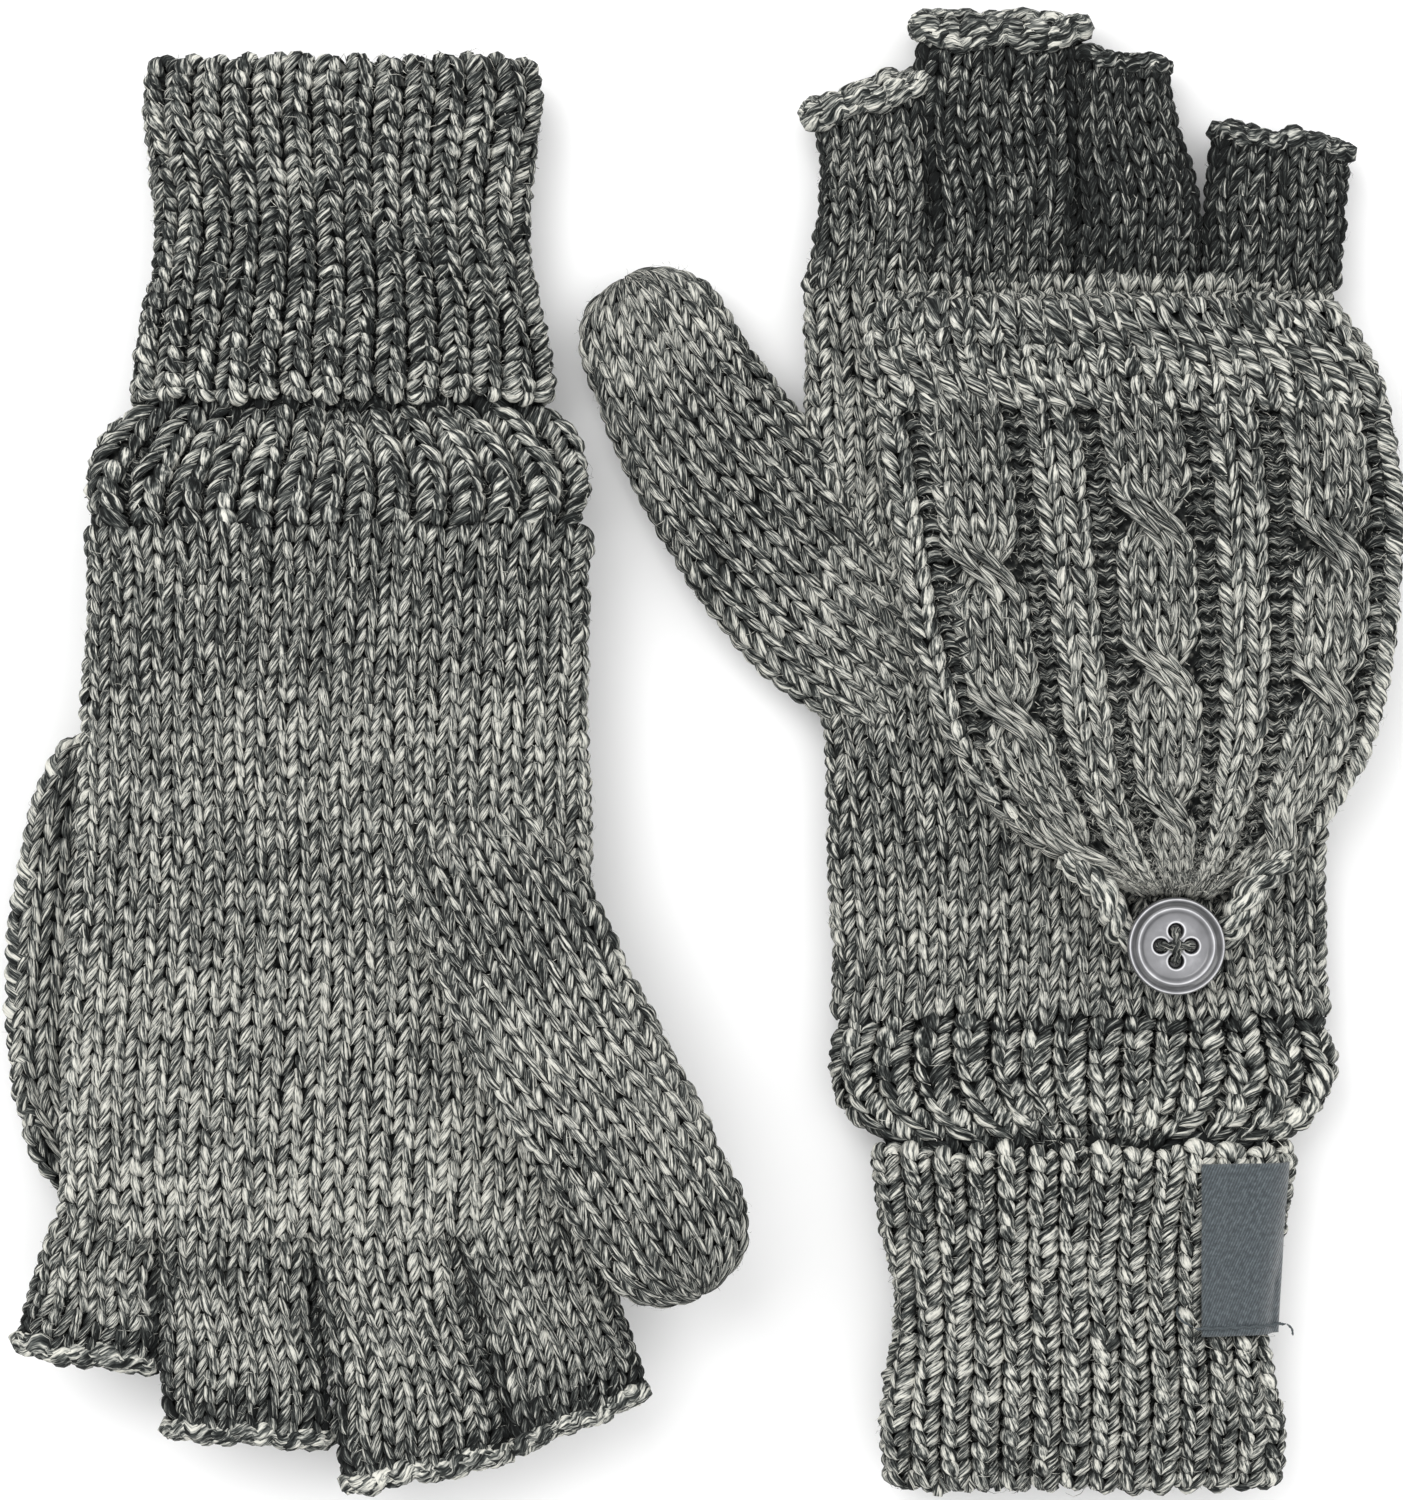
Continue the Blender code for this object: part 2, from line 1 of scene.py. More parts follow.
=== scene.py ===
"""The looks of the flip-top mittens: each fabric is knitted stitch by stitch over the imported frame.

A Cloth is a smooth grid of points that follows a CAD tube or panel. A pattern says where the columns
of stitches run on it, and knit() lays two yarn legs for every stitch, so that ribs, purl gutters and
cables are real shapes. Shapes are drawn in each mitten's own hand frame in millimetres, as the CAD is:
x from thumb to little finger, y from the wrist step to the fingertips, z from palm to back.
"""

import math

import bpy
import numpy as np
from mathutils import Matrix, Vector


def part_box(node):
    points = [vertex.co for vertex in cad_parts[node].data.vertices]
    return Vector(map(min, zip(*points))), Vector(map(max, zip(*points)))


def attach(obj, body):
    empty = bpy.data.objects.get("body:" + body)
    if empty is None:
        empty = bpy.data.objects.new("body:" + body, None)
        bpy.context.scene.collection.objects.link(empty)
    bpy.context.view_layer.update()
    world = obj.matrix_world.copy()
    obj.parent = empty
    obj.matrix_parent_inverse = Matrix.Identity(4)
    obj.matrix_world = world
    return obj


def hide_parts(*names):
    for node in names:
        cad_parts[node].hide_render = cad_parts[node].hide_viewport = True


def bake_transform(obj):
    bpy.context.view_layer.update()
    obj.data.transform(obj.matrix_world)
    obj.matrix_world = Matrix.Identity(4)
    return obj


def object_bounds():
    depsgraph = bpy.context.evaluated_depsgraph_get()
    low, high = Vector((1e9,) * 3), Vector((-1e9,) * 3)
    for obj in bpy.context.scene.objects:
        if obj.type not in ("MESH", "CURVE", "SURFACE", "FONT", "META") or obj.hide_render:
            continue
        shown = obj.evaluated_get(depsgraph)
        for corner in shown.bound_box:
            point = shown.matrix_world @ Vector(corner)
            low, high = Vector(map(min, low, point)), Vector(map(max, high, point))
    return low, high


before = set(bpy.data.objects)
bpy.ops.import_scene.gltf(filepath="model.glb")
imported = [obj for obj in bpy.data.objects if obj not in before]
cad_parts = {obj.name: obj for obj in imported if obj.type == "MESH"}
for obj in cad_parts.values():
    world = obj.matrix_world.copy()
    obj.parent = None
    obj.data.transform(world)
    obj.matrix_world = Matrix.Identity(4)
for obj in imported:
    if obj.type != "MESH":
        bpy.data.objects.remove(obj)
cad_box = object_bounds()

MM = 0.001
SIDES = ("right", "left")
FINGERS = ("index", "middle", "ring", "little")

# How much paler or darker than the middle tone each part is coloured
HAND_TONES = {"right": 0.01, "left": 0.05}
FINGER_TONES = {
    "right": {"index": -0.1, "middle": -0.19, "ring": -0.21, "little": -0.18},
    "left": {"index": 0.0, "middle": 0.04, "ring": 0.02, "little": 0.03},
}
THUMB_TONES = {"right": -0.02, "left": 0.0}
WRIST_TONES = {"right": 0.0, "left": -0.02}
CUFF_TONES = {"right": 0.02, "left": -0.07}

# Yarn and gauge
WALE = 3.75  # width of one stitch column
COURSE = 2.42  # height of one row
YARN_FLAT = 0.94  # yarn radius in the cloth
YARN_DEEP = 0.85  # yarn radius out of the cloth
SINK = 1.15  # from the CAD face down to the cloth that the stitches stand on
WALL = 1.5  # thickness of the dense fabric behind the stitches
WALL_DROP = 0.15  # from the cloth down to its upper face
FIBRE_RADIUS = 0.036
FIBRES = {"hand": 5200, "finger": 300, "thumb": 1300, "wrist": 1500, "cuff": 3000, "cap": 3600, "hem": 900}
YARN_SLOT, CORE_SLOT = 0, 1  # material slots of every knitted piece
LEG_RINGS = 7
LEG_SIDES = 6
LEG_ARCH = math.radians(112)  # the yarn is shown to this angle on both sides of its crest
LEG_LENGTH = 3.6
RIBS = 28  # ribs around the wrist and the cuff

# Sizes shared with the CAD
GAP = 0.3
FABRIC = 2.4
POWER = 3.0
CLIP = 1.05
HAND_HALF_DEPTH = 4.8
CAP_LENGTH = 96.0
CAP_HEM = 15.0
HINGE_Z = HAND_HALF_DEPTH + GAP + FABRIC
CUFF_HALF_DEPTH = 7.4
HAND_WIDTH = ((0.0, 41.0), (40.0, 42.0), (80.0, 43.5), (125.0, 44.5))
RIB_WIDTH = ((-75.0, 28.0), (-50.0, 28.4), (-32.0, 30.6), (-23.0, 32.6))
RIB_WIDTH += ((-18.0, 39.0), (-12.0, 42.0), (0.0, 40.5))
RIB_DEPTH = ((-75.0, 4.7), (-23.0, 4.7), (-18.0, 5.2), (-11.0, 6.0), (0.0, 5.0))
CUFF_WIDTH = ((-79.5, 33.0), (-72.0, 33.6), (-52.0, 31.4), (-35.0, 34.0), (-23.0, 36.0))
# Distance from the hinge, middle and half width
CAP_OUTLINE = ((0.0, 3.0, 38.6), (10.0, 6.0, 41.6), (22.0, 8.6, 42.4), (40.0, 10.4, 41.2), (58.0, 11.6, 38.6))
CAP_OUTLINE += ((72.0, 12.4, 34.2), (83.0, 13.2, 27.0), (91.0, 14.2, 18.0), (96.0, 14.9, 9.0))
# A finger is (base x, base half width, tip x, tip half width, tip y, half depth, edge slope), a thumb's
# stations are (x, y, z, half width), and lift is how high the hand lies on the floor at each y
SHAPES = {
    "right": {
        "turn": 1,
        "knuckle_shift": -2.0,
        "knuckles": 122.0,
        "hinge_y": 115.0,
        "cap_shift": 0.0,
        "fingers": {
            "index": (-35.6, 9.7, -35.4, 9.6, 154.5, 5.0, 0.35),
            "middle": (-13.4, 11.3, -12.2, 12.0, 165.5, 5.4, 0.0),
            "ring": (9.2, 10.1, 10.4, 8.0, 159.5, 5.6, -0.2),
            "little": (31.6, 10.9, 33.0, 11.4, 146.5, 4.9, -0.14),
        },
        "thumb": (
            (-28.0, 55.0, 0.0, 14.0),
            (-44.0, 70.0, 0.0, 16.5),
            (-56.5, 86.0, 0.0, 15.5),
            (-66.0, 101.0, 0.0, 14.0),
            (-71.5, 112.0, 0.0, 12.6),
        ),
        "thumb_tip": 12.0,
        "lift": ((-24.0, 7.4), (6.0, 4.8)),
    },
    "left": {
        "turn": -1,
        "knuckle_shift": 2.0,
        "knuckles": 115.0,
        "hinge_y": 113.5,
        "cap_shift": 3.5,
        "fingers": {
            "index": (-30.9, 11.2, -39.6, 9.7, 147.0, 4.9, 0.42),
            "middle": (-7.2, 11.3, -14.6, 13.0, 155.5, 5.2, 0.18),
            "ring": (17.2, 11.9, 15.0, 12.8, 149.6, 5.0, -0.06),
            "little": (38.4, 8.1, 42.0, 11.0, 136.5, 4.9, -0.17),
        },
        "thumb": (
            (-21.0, 50.0, -1.0, 13.0),
            (-28.5, 64.0, -7.5, 14.5),
            (-36.5, 81.0, -10.4, 15.0),
            (-47.0, 99.0, -10.4, 14.0),
            (-54.5, 113.0, -10.0, 13.2),
        ),
        "thumb_tip": 13.0,
        "lift": ((-24.0, 7.4), (0.0, 14.8), (113.0, 14.8), (158.0, 14.2)),
    },
}


def along(table, position, column=1, level=False):
    """A smooth value between the stations of a table; level makes it flat at each station."""
    stations = np.array([row[0] for row in table])
    values = np.array([row[column] for row in table])
    slopes = np.gradient(values, stations) * (not level)
    position = np.clip(np.asarray(position, float), stations[0], stations[-1])
    index = np.clip(np.searchsorted(stations, position) - 1, 0, len(stations) - 2)
    span = stations[index + 1] - stations[index]
    t = (position - stations[index]) / span
    start, end = values[index], values[index + 1]
    low, high = slopes[index] * span, slopes[index + 1] * span
    cubic = (2 * start + low - 2 * end + high) * t**3
    return cubic + (3 * end - 3 * start - 2 * low - high) * t**2 + low * t + start


def wrist_step(side):
    """Where the middle of a mitten's wrist step lies on the floor, from the CAD boxes."""
    turn = SHAPES[side]["turn"]
    rib_low, rib_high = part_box(side + "_wrist_rib")
    cuff_low, cuff_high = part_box(side + "_turned_cuff")
    end = rib_high.y if turn > 0 else rib_low.y
    return (cuff_low.x + cuff_high.x) / 2 / MM, end / MM + turn * GAP


def place(side, points):
    """Hand-frame millimetres to millimetres on the floor."""
    shape = SHAPES[side]
    turn = shape["turn"]
    step = wrist_step(side)
    lift = along(shape["lift"], points[..., 1], level=True)
    placed = turn * points
    placed[..., 0] += step[0]
    placed[..., 1] += step[1]
    placed[..., 2] += lift
    return placed


def spot(side, x, y, z):
    """A hand-frame point in metres on the floor."""
    return place(side, np.array([[x, y, z]]))[0] * MM


def smooth(t):
    """An even start and end for a share from 0 to 1."""
    t = np.clip(t, 0.0, 1.0)
    return t * t * (3 - 2 * t)


def own_seed(side, seed):
    """A seed for each mitten, so that the two aren't copies."""
    return seed if side == "right" else seed + 1


def grid_faces(rows, columns, wrapped=False):
    """Quads between the neighbouring points of a grid, whose rows may close on themselves."""
    a = np.arange(columns if wrapped else columns - 1)
    b = (a + 1) % columns
    strip = np.column_stack((a, b, b + columns, a + columns))
    return np.vstack([strip + row * columns for row in range(rows - 1)])


def in_cell(cell, across, up):
    """Bake map points at shares of the way across and up a cell (left, bottom, right, top) of the map."""
    map_u = cell[0] + (cell[2] - cell[0]) * across
    map_v = cell[1] + (cell[3] - cell[1]) * up
    return np.stack(np.broadcast_arrays(map_u, map_v), axis=-1).reshape(-1, 2)


def add_object(name, data):
    """A new object in the scene."""
    made = bpy.data.objects.new(name, data)
    bpy.context.scene.collection.objects.link(made)
    return made


# Cloth: the surfaces that fabrics are knitted on


def uneven_cloth(points):
    """Soft waves, from -1 to 1, by which worn fabric is never quite flat."""
    x, y, z = points[..., 0], points[..., 1], points[..., 2]
    wide = np.sin(x * 0.21 + 1.3 * np.sin(y * 0.11)) * np.sin(y * 0.17 + 0.9 * np.sin(x * 0.13) + z * 0.3)
    fine = np.sin(x * 0.47 + y * 0.23) * np.sin(y * 0.39 - x * 0.19 + 1.0)
    return 0.65 * wide + 0.35 * fine


def evened(ring, count, closed):
    """The same line of points, spread evenly along its length."""
    line = np.vstack((ring, ring[:1])) if closed else ring
    steps = np.linalg.norm(np.diff(line, axis=0), axis=1)
    walked = np.concatenate(([0.0], np.cumsum(steps)))
    wanted = np.linspace(0.0, walked[-1], count + 1 if closed else count)
    spread = np.column_stack([np.interp(wanted, walked, line[:, k]) for k in range(3)])
    return spread[:-1] if closed else spread


class Cloth:
    """A dense grid of floor-frame points with normals, which u crosses and v climbs, both from 0 to 1.

    The relief raises it and the warp moves it sideways; facing is -1 if u runs the other way round.
    """

    def __init__(self, side, rows, wales, courses, closed=True, relief=None, facing=1, warp=None, wobble=0.3):
        self.closed = closed
        self.turn = SHAPES[side]["turn"]
        self.outward = self.turn * facing
        self.wales = wales
        self.courses = courses
        columns = int(wales * 7)
        rows = np.array([evened(place(side, row), columns, closed) for row in rows])
        lengths = np.linalg.norm(np.diff(rows, axis=0), axis=2).mean(axis=1)
        walked = np.concatenate(([0.0], np.cumsum(lengths)))
        wanted = np.linspace(0.0, walked[-1], int(courses * 5) + 1)
        index = np.clip(np.searchsorted(walked, wanted) - 1, 0, len(rows) - 2)
        t = ((wanted - walked[index]) / (walked[index + 1] - walked[index]))[:, None, None]
        self.points = rows[index] * (1 - t) + rows[index + 1] * t
        self.measure()
        count_v, count_u = self.points.shape[:2]
        u = np.arange(count_u)[None, :] / (count_u if closed else count_u - 1)
        v = np.linspace(0.0, 1.0, count_v)[:, None]
        if warp is not None:
            self.points = self.sample(self.points, u + warp(u, v), v + 0.0 * u)
            self.measure()
        uneven = wobble * uneven_cloth(self.points)
        if relief is not None:
            uneven = uneven + relief(u, v)
        self.points = self.points + self.normals * uneven[..., None]
        self.measure()

    def measure(self):
        """Normals, and millimetres per unit of u and v, at every grid point."""
        points = self.points
        if self.closed:
            across = (np.roll(points, -1, axis=1) - np.roll(points, 1, axis=1)) / 2
        else:
            across = np.gradient(points, axis=1)
        climb = np.gradient(points, axis=0)
        normals = np.cross(climb, across) * self.outward
        size = np.linalg.norm(normals, axis=2, keepdims=True)
        self.normals = normals / np.maximum(size, 1e-9)
        count_v, count_u = points.shape[:2]
        self.across_mm = np.linalg.norm(across, axis=2) * (count_u if self.closed else count_u - 1)
        self.climb_mm = np.linalg.norm(climb, axis=2) * (count_v - 1)

    def sample(self, grid, u, v):
        """The grid's value at u and v, blended from the four points around it."""
        count_v, count_u = grid.shape[:2]
        y = np.asarray(v, float) * (count_v - 1)
        row = np.clip(np.floor(y).astype(int), 0, count_v - 2)
        if self.closed:
            x = np.mod(u, 1.0) * count_u
            column = x.astype(int) % count_u
            after = (column + 1) % count_u
            fx = x - np.floor(x)
        else:
            x = np.asarray(u, float) * (count_u - 1)
            column = np.clip(np.floor(x).astype(int), 0, count_u - 2)
            after = column + 1
            fx = x - column
        fy = y - row
        if grid.ndim == 3:
            fx, fy = fx[..., None], fy[..., None]
        low = grid[row, column] * (1 - fx) + grid[row, after] * fx
        high = grid[row + 1, column] * (1 - fx) + grid[row + 1, after] * fx
        return low * (1 - fy) + high * fy

    def at(self, u, v, height):
        """Points that stand a height above the cloth."""
        normals = self.sample(self.normals, u, v)
        normals = normals / np.maximum(np.linalg.norm(normals, axis=-1, keepdims=True), 1e-9)
        return self.sample(self.points, u, v) + normals * height[..., None]


# Stitches


def leg_template(path, thickness):
    """A stretch of yarn: its centre line in stitch units, its sideways direction and its section."""
    s = np.linspace(0.0, 1.0, LEG_RINGS)
    x, y, height = path(s)
    dx = np.gradient(x, s) * WALE
    dy = np.gradient(y, s) * COURSE
    size = np.hypot(dx, dy)
    angle = np.linspace(-LEG_ARCH, LEG_ARCH, LEG_SIDES)
    shape = (LEG_RINGS, LEG_SIDES)

    def spread(values):
        """One value for each ring, given to all its points."""
        return np.broadcast_to(np.asarray(values)[:, None], shape).ravel()

    body = thickness(s)
    around = np.tile(angle, LEG_RINGS)
    # Painted shade: each leg is darker towards both sides of its section and towards its ends, where
    # neighbouring stitches shade it, and a little paler along its crest.
    edge_shade = 0.38 * (around / LEG_ARCH) ** 2
    end_shade = 0.2 * (1 - np.sin(math.pi * spread(s))) ** 2
    return {
        "x": spread(x),
        "y": spread(y),
        "height": spread(height),
        "side_x": spread(dy / size * body) * np.sin(around),
        "side_y": spread(-dx / size * body) * np.sin(around),
        "out": spread(body) * np.cos(around),
        "s": spread(s),
        "angle": around,
        "shade": 0.14 - edge_shade - end_shade,
        "faces": grid_faces(LEG_RINGS, LEG_SIDES),
    }


def knit_leg(hand):
    """One leg of a V; hand is -1 for the left leg and 1 for the right one."""

    def path(s):
        x = 0.5 + hand * (0.07 + 0.36 * s)
        y = -0.34 + 1.36 * s
        return x, y, 0.05 + 0.95 * np.sin(math.pi * (0.07 + 0.86 * s)) ** 0.9

    return leg_template(path, lambda s: 0.54 + 0.5 * np.sin(math.pi * (0.1 + 0.82 * s)))


def purl_bump(sign, shift):
    """An arc of yarn across a column, which frowns or smiles."""

    def path(s):
        x = shift + 0.5 + 1.2 * (s - 0.5)
        y = 0.5 - 0.25 * sign + sign * (0.36 * np.sin(math.pi * s) - 0.18)
        return x, y, 0.35 + 0.75 * np.sin(math.pi * s) ** 0.7

    return leg_template(path, lambda s: 0.7 + 0.26 * np.sin(math.pi * s))


TEMPLATES = {
    "knit": (knit_leg(-1), knit_leg(1)),
    "purl": (purl_bump(1, 0.0), purl_bump(-1, 0.5)),
}


class Fabric:
    """Collects the vertices, faces and shading attributes of one knitted piece."""

    def __init__(self, seed):
        self.random = np.random.default_rng(seed)
        self.points, self.faces, self.strands, self.tones, self.maps, self.slots = [], [], [], [], [], []
        self.count = 0

    def add(self, points, faces, strand, tone, uv, slot=YARN_SLOT):
        """Takes in points with their strand, tone and bake map, and the faces between them."""
        points = points.reshape(-1, 3)
        self.points.append(points)
        self.faces.append(faces + self.count)
        self.strands.append(strand.reshape(-1, 3))
        self.tones.append(np.full(len(points), tone) if np.isscalar(tone) else tone.ravel())
        self.maps.append(uv)
        self.slots.append(np.full(len(faces), slot))
        self.count += len(points)

    def knit(self, cloth, columns, cell=(0.0, 0.0, 1.0, 0.88), tone=None, bulk=1.0):
        """Lays every column of stitches over the cloth, each stitch a little different."""
        tone = tone or (lambda u, v: np.zeros_like(u))
        courses = np.arange(cloth.courses)[:, None]
        middle = (courses + 0.5) / cloth.courses
        for number, column in enumerate(columns):
            for hand, leg in enumerate(TEMPLATES[column["kind"]]):
                jitter = self.random.normal(0.0, 1.0, (4, cloth.courses, 1))
                chance = self.random.random((3, cloth.courses, 1))
                centre = column["path"](middle, middle)
                wide = cloth.sample(cloth.across_mm, centre, middle) * column["width"]
                tall = cloth.sample(cloth.climb_mm, centre, middle) / cloth.courses
                thin = np.clip(wide / WALE, 0.3, 1.12) ** 0.8 * np.clip(tall / COURSE, 0.5, 1.1) ** 0.3
                thin = thin * (1 + 0.07 * jitter[0]) * bulk
                v_row = courses + leg["y"] + 0.08 * jitter[1]
                v_row = v_row + leg["side_y"] * YARN_FLAT * thin / np.maximum(tall, 0.6)
                v = v_row / cloth.courses
                slant = column["path"](v, middle)
                u = slant + (leg["x"] - 0.5 + 0.045 * jitter[2]) * column["width"]
                u = u + leg["side_x"] * YARN_FLAT * thin / np.maximum(wide, 0.6) * column["width"]
                height = column["lift"](v, middle) + 0.1 * jitter[3]
                height = height + YARN_DEEP * thin * (leg["height"] + leg["out"])
                points = cloth.at(u, v, height)
                length = leg["s"] * LEG_LENGTH + chance[0] * 500
                angle = leg["angle"] * cloth.turn + chance[1] * 2 * math.pi
                strand = np.stack((length, angle, np.broadcast_to(chance[2], length.shape)), axis=-1)
                shade = tone(centre, middle) + column.get("tone", 0.0) + leg["shade"] + np.zeros_like(length)
                faces = (leg["faces"] + (courses * len(leg["s"]))[:, None]).reshape(-1, 4)
                if cloth.outward > 0:
                    faces = faces[:, ::-1]
                share = (leg["angle"] / LEG_ARCH + 1) / 2
                across = (number + 0.5 * hand + 0.03 + 0.44 * share) / len(columns)
                up = (courses + 0.04 + 0.92 * leg["s"]) / cloth.courses
                self.add(points, faces, strand, shade, in_cell(cell, across, up))

    def wall(self, cloth, thickness=WALL, cell=(0.0, 0.89, 1.0, 1.0), detail=(3, 2)):
        """The dense fabric behind the stitches, as a closed sheet with both its faces."""
        count_u = int(cloth.wales * detail[0])
        count_v = int(cloth.courses * detail[1]) + 1
        u = np.arange(count_u + 1) / count_u
        v = np.linspace(0.25 / cloth.courses, 1.0 - 0.25 / cloth.courses, count_v)
        grid_u, grid_v = np.meshgrid(u, v)
        columns = count_u + 1
        for skin, height in enumerate((-WALL_DROP, -WALL_DROP - thickness)):
            points = cloth.at(grid_u, grid_v, np.full(grid_u.shape, height))
            faces = grid_faces(count_v, columns)
            if (cloth.outward > 0) == (skin == 0):
                faces = faces[:, ::-1]
            strand = np.stack((grid_v * cloth.courses, grid_u * cloth.wales, skin + 0.0 * grid_v), axis=-1)
            uv = in_cell(cell, grid_u, (skin + 0.02 + 0.96 * grid_v) / 2)
            self.add(points, faces, strand, 0.0, uv, CORE_SLOT)
        first, second = self.count - 2 * count_v * columns, self.count - count_v * columns
        edges = []
        if not cloth.closed:
            climb = np.arange(count_v - 1) * columns
            edges.append((climb, climb + columns))
            edges.append((climb + columns + count_u, climb + count_u))
        walk = np.arange(count_u)
        edges.append((walk + 1, walk))
        top = (count_v - 1) * columns + walk
        edges.append((top, top + 1))
        for a, b in edges:
            quad = np.column_stack((first + a, first + b, second + b, second + a))
            self.faces.append(quad if cloth.outward > 0 else quad[:, ::-1])
            self.slots.append(np.full(len(quad), CORE_SLOT))

    def fuzz(self, cloth, count, tone=0.0, cell=(0.0, 0.881, 1.0, 0.884)):
        """Fine loose fibres that curl up from the stitches, as narrow ribbons."""
        pick = self.random.random((6, count))
        u, v = pick[0], 0.03 + 0.94 * pick[1]
        length = 0.7 + 1.5 * pick[2]
        lean = 2 * math.pi * pick[3]
        bend = 1.4 * (pick[4] - 0.5)
        edges = []
        steps = 4
        across = cloth.sample(cloth.across_mm, u, v)
        climb = cloth.sample(cloth.climb_mm, u, v)
        for step in range(steps):
            share = step / (steps - 1)
            heading = lean + bend * share * 2
            if step > 0:
                u = u + np.cos(heading) * length / (steps - 1) / across
                v = v + np.sin(heading) * length / (steps - 1) / climb
            height = 1.1 + length * 0.6 * np.sin(share * 1.3 + 0.25) * (0.2 + 0.8 * pick[5])
            half = FIBRE_RADIUS * (1.0 - 0.75 * share)
            side_u = -np.sin(heading) * half / across
            side_v = np.cos(heading) * half / climb
            edges += [cloth.at(u + way * side_u, v + way * side_v, height) for way in (-1, 1)]
        each = np.arange(count)[:, None]
        faces = (grid_faces(steps, 2) + each[:, None] * 2 * steps).reshape(-1, 4)
        share = np.repeat(np.arange(steps) / (steps - 1), 2)
        start, angle = pick[2][:, None] * 90, pick[3][:, None] * 6
        strand = np.stack(np.broadcast_arrays(share * 2 + start, angle, 0.5), axis=-1)
        uv = in_cell(cell, (each + np.tile((0.1, 0.9), steps)) / count, 0.05 + 0.9 * share)
        self.add(np.stack(edges, axis=1), faces, strand, tone + 0.1, uv)

    def build(self, name):
        """The piece's mesh object, with its attributes, bake map and two materials."""
        points = np.vstack(self.points) * MM
        faces = np.vstack(self.faces)
        mesh = bpy.data.meshes.new(name)
        mesh.vertices.add(len(points))
        mesh.vertices.foreach_set("co", points.astype(np.float32).ravel())
        mesh.loops.add(faces.size)
        mesh.loops.foreach_set("vertex_index", faces.astype(np.int32).ravel())
        mesh.polygons.add(len(faces))
        mesh.polygons.foreach_set("loop_start", np.arange(len(faces), dtype=np.int32) * 4)
        mesh.polygons.foreach_set("material_index", np.concatenate(self.slots).astype(np.int32))
        mesh.polygons.foreach_set("use_smooth", np.ones(len(faces), bool))
        strand = mesh.attributes.new("strand", "FLOAT_VECTOR", "POINT")
        strand.data.foreach_set("vector", np.vstack(self.strands).astype(np.float32).ravel())
        tone = mesh.attributes.new("tone", "FLOAT", "POINT")
        tone.data.foreach_set("value", np.concatenate(self.tones).astype(np.float32))
        layer = mesh.uv_layers.new(name="OFBake")
        layer.data.foreach_set("uv", np.vstack(self.maps)[faces.ravel()].astype(np.float32).ravel())
        mesh.update(calc_edges=True)
        mesh.materials.append(YARN)
        mesh.materials.append(CORE)
        made = add_object(name, mesh)
        return made


def straight(u, sway=0.0, slant=0.0):
    """A column that climbs at u, leans by the slant and sways a little from side to side."""
    return lambda v, row: u + slant * (v - 0.5) + sway * np.sin(9.0 * v + 7.0 * u)


def flat_lift(height):
    """A column that stands at one height."""
    return lambda v, row: np.full_like(v, height)


def stockinette(wales, slant=0.0):
    """Even columns of knit stitches; slant moves each column over by that share as it climbs."""
    columns = []
    for number in range(wales):
        columns.append({
            "kind": "knit",
            "path": straight((number + 0.5) / wales, 0.16 / wales, slant),
            "width": 1 / wales,
            "lift": flat_lift(0.0),
        })
    return columns


def rib_columns(knit_share, sunk, gutter_shade):
    """Single knit columns, each with a sunk purl gutter after it, painted darker as shade in its recess."""
    columns = []
    for rib in range(RIBS):
        gutter = 1 - knit_share
        columns.append({
            "kind": "knit",
            "path": straight((rib + knit_share / 2) / RIBS, 0.1 / RIBS),
            "width": knit_share / RIBS,
            "lift": flat_lift(0.0),
        })
        columns.append({
            "kind": "purl",
            "path": straight((rib + knit_share + gutter / 2) / RIBS, 0.1 / RIBS),
            "width": gutter * 1.15 / RIBS,
            "lift": flat_lift(sunk),
            # Painted shade in the gutter, less dark in every other one.
            "tone": gutter_shade if rib % 2 else 0.6 * gutter_shade,
        })
    return columns


def rib_relief(knit_share, rise):
    """Rounds each knit column up from its gutters."""

    def relief(u, v):
        phase = np.mod(u * RIBS, 1.0)
        crest = np.sin(math.pi * np.clip(phase / knit_share, 0.0, 1.0))
        return rise * (np.sqrt(crest) - 1.0) + 0.0 * v

    return relief


# The tubes of the hand


def section(half_width, half_depth, power=POWER, count=240):
    """A flattened tube's section, cut flat at its top and bottom."""
    angle = np.arange(count) * 2 * math.pi / count
    c, s = np.cos(angle), np.sin(angle)
    x = half_width * np.sign(c) * np.abs(c) ** (2 / power)
    z = half_depth * CLIP * np.sign(s) * np.abs(s) ** (2 / power)
    return x, np.clip(z, -half_depth, half_depth)


def level_ring(x, y, z, half_width, half_depth, slope=0.0, power=POWER):
    """A section at y, whose outer side lies further on by the slope."""
    sx, sz = section(half_width, half_depth, power)
    return np.column_stack((x + sx, y + slope * sx, z + sz))


def wavy(x, phase=0.0):
    """The uneven line, from -1 to 1, that a soft edge follows."""
    return 0.6 * np.sin(0.23 * x + phase) + 0.4 * np.sin(0.61 * x + 2.1 * phase + 1.0)


def bands(seed, strength, base=0.0):
    """Soft lighter and darker bands over a piece, around its base tone."""
    random = np.random.default_rng(seed)
    waves = random.uniform(0.0, 2 * math.pi, 6)

    def tone(u, v):
        value = np.sin(2 * math.pi * (v * 1.3 + 0.4 * u) + waves[0])
        value = value + 0.7 * np.sin(2 * math.pi * (v * 3.1 - 0.7 * u) + waves[1])
        value = value + 0.5 * np.sin(2 * math.pi * (v * 7.3 + u) + waves[2])
        return base + strength * value / 1.6

    return tone


HAND_WALES = 48
HAND_START = -1.2  # the hand's lower edge hangs over the wrist step by this much
HAND_BAND_SEEDS = {"right": 3, "left": 5}
GREYER_WRIST = {"right": 0.04, "left": 0.13}  # how much darker the hand is at its wrist


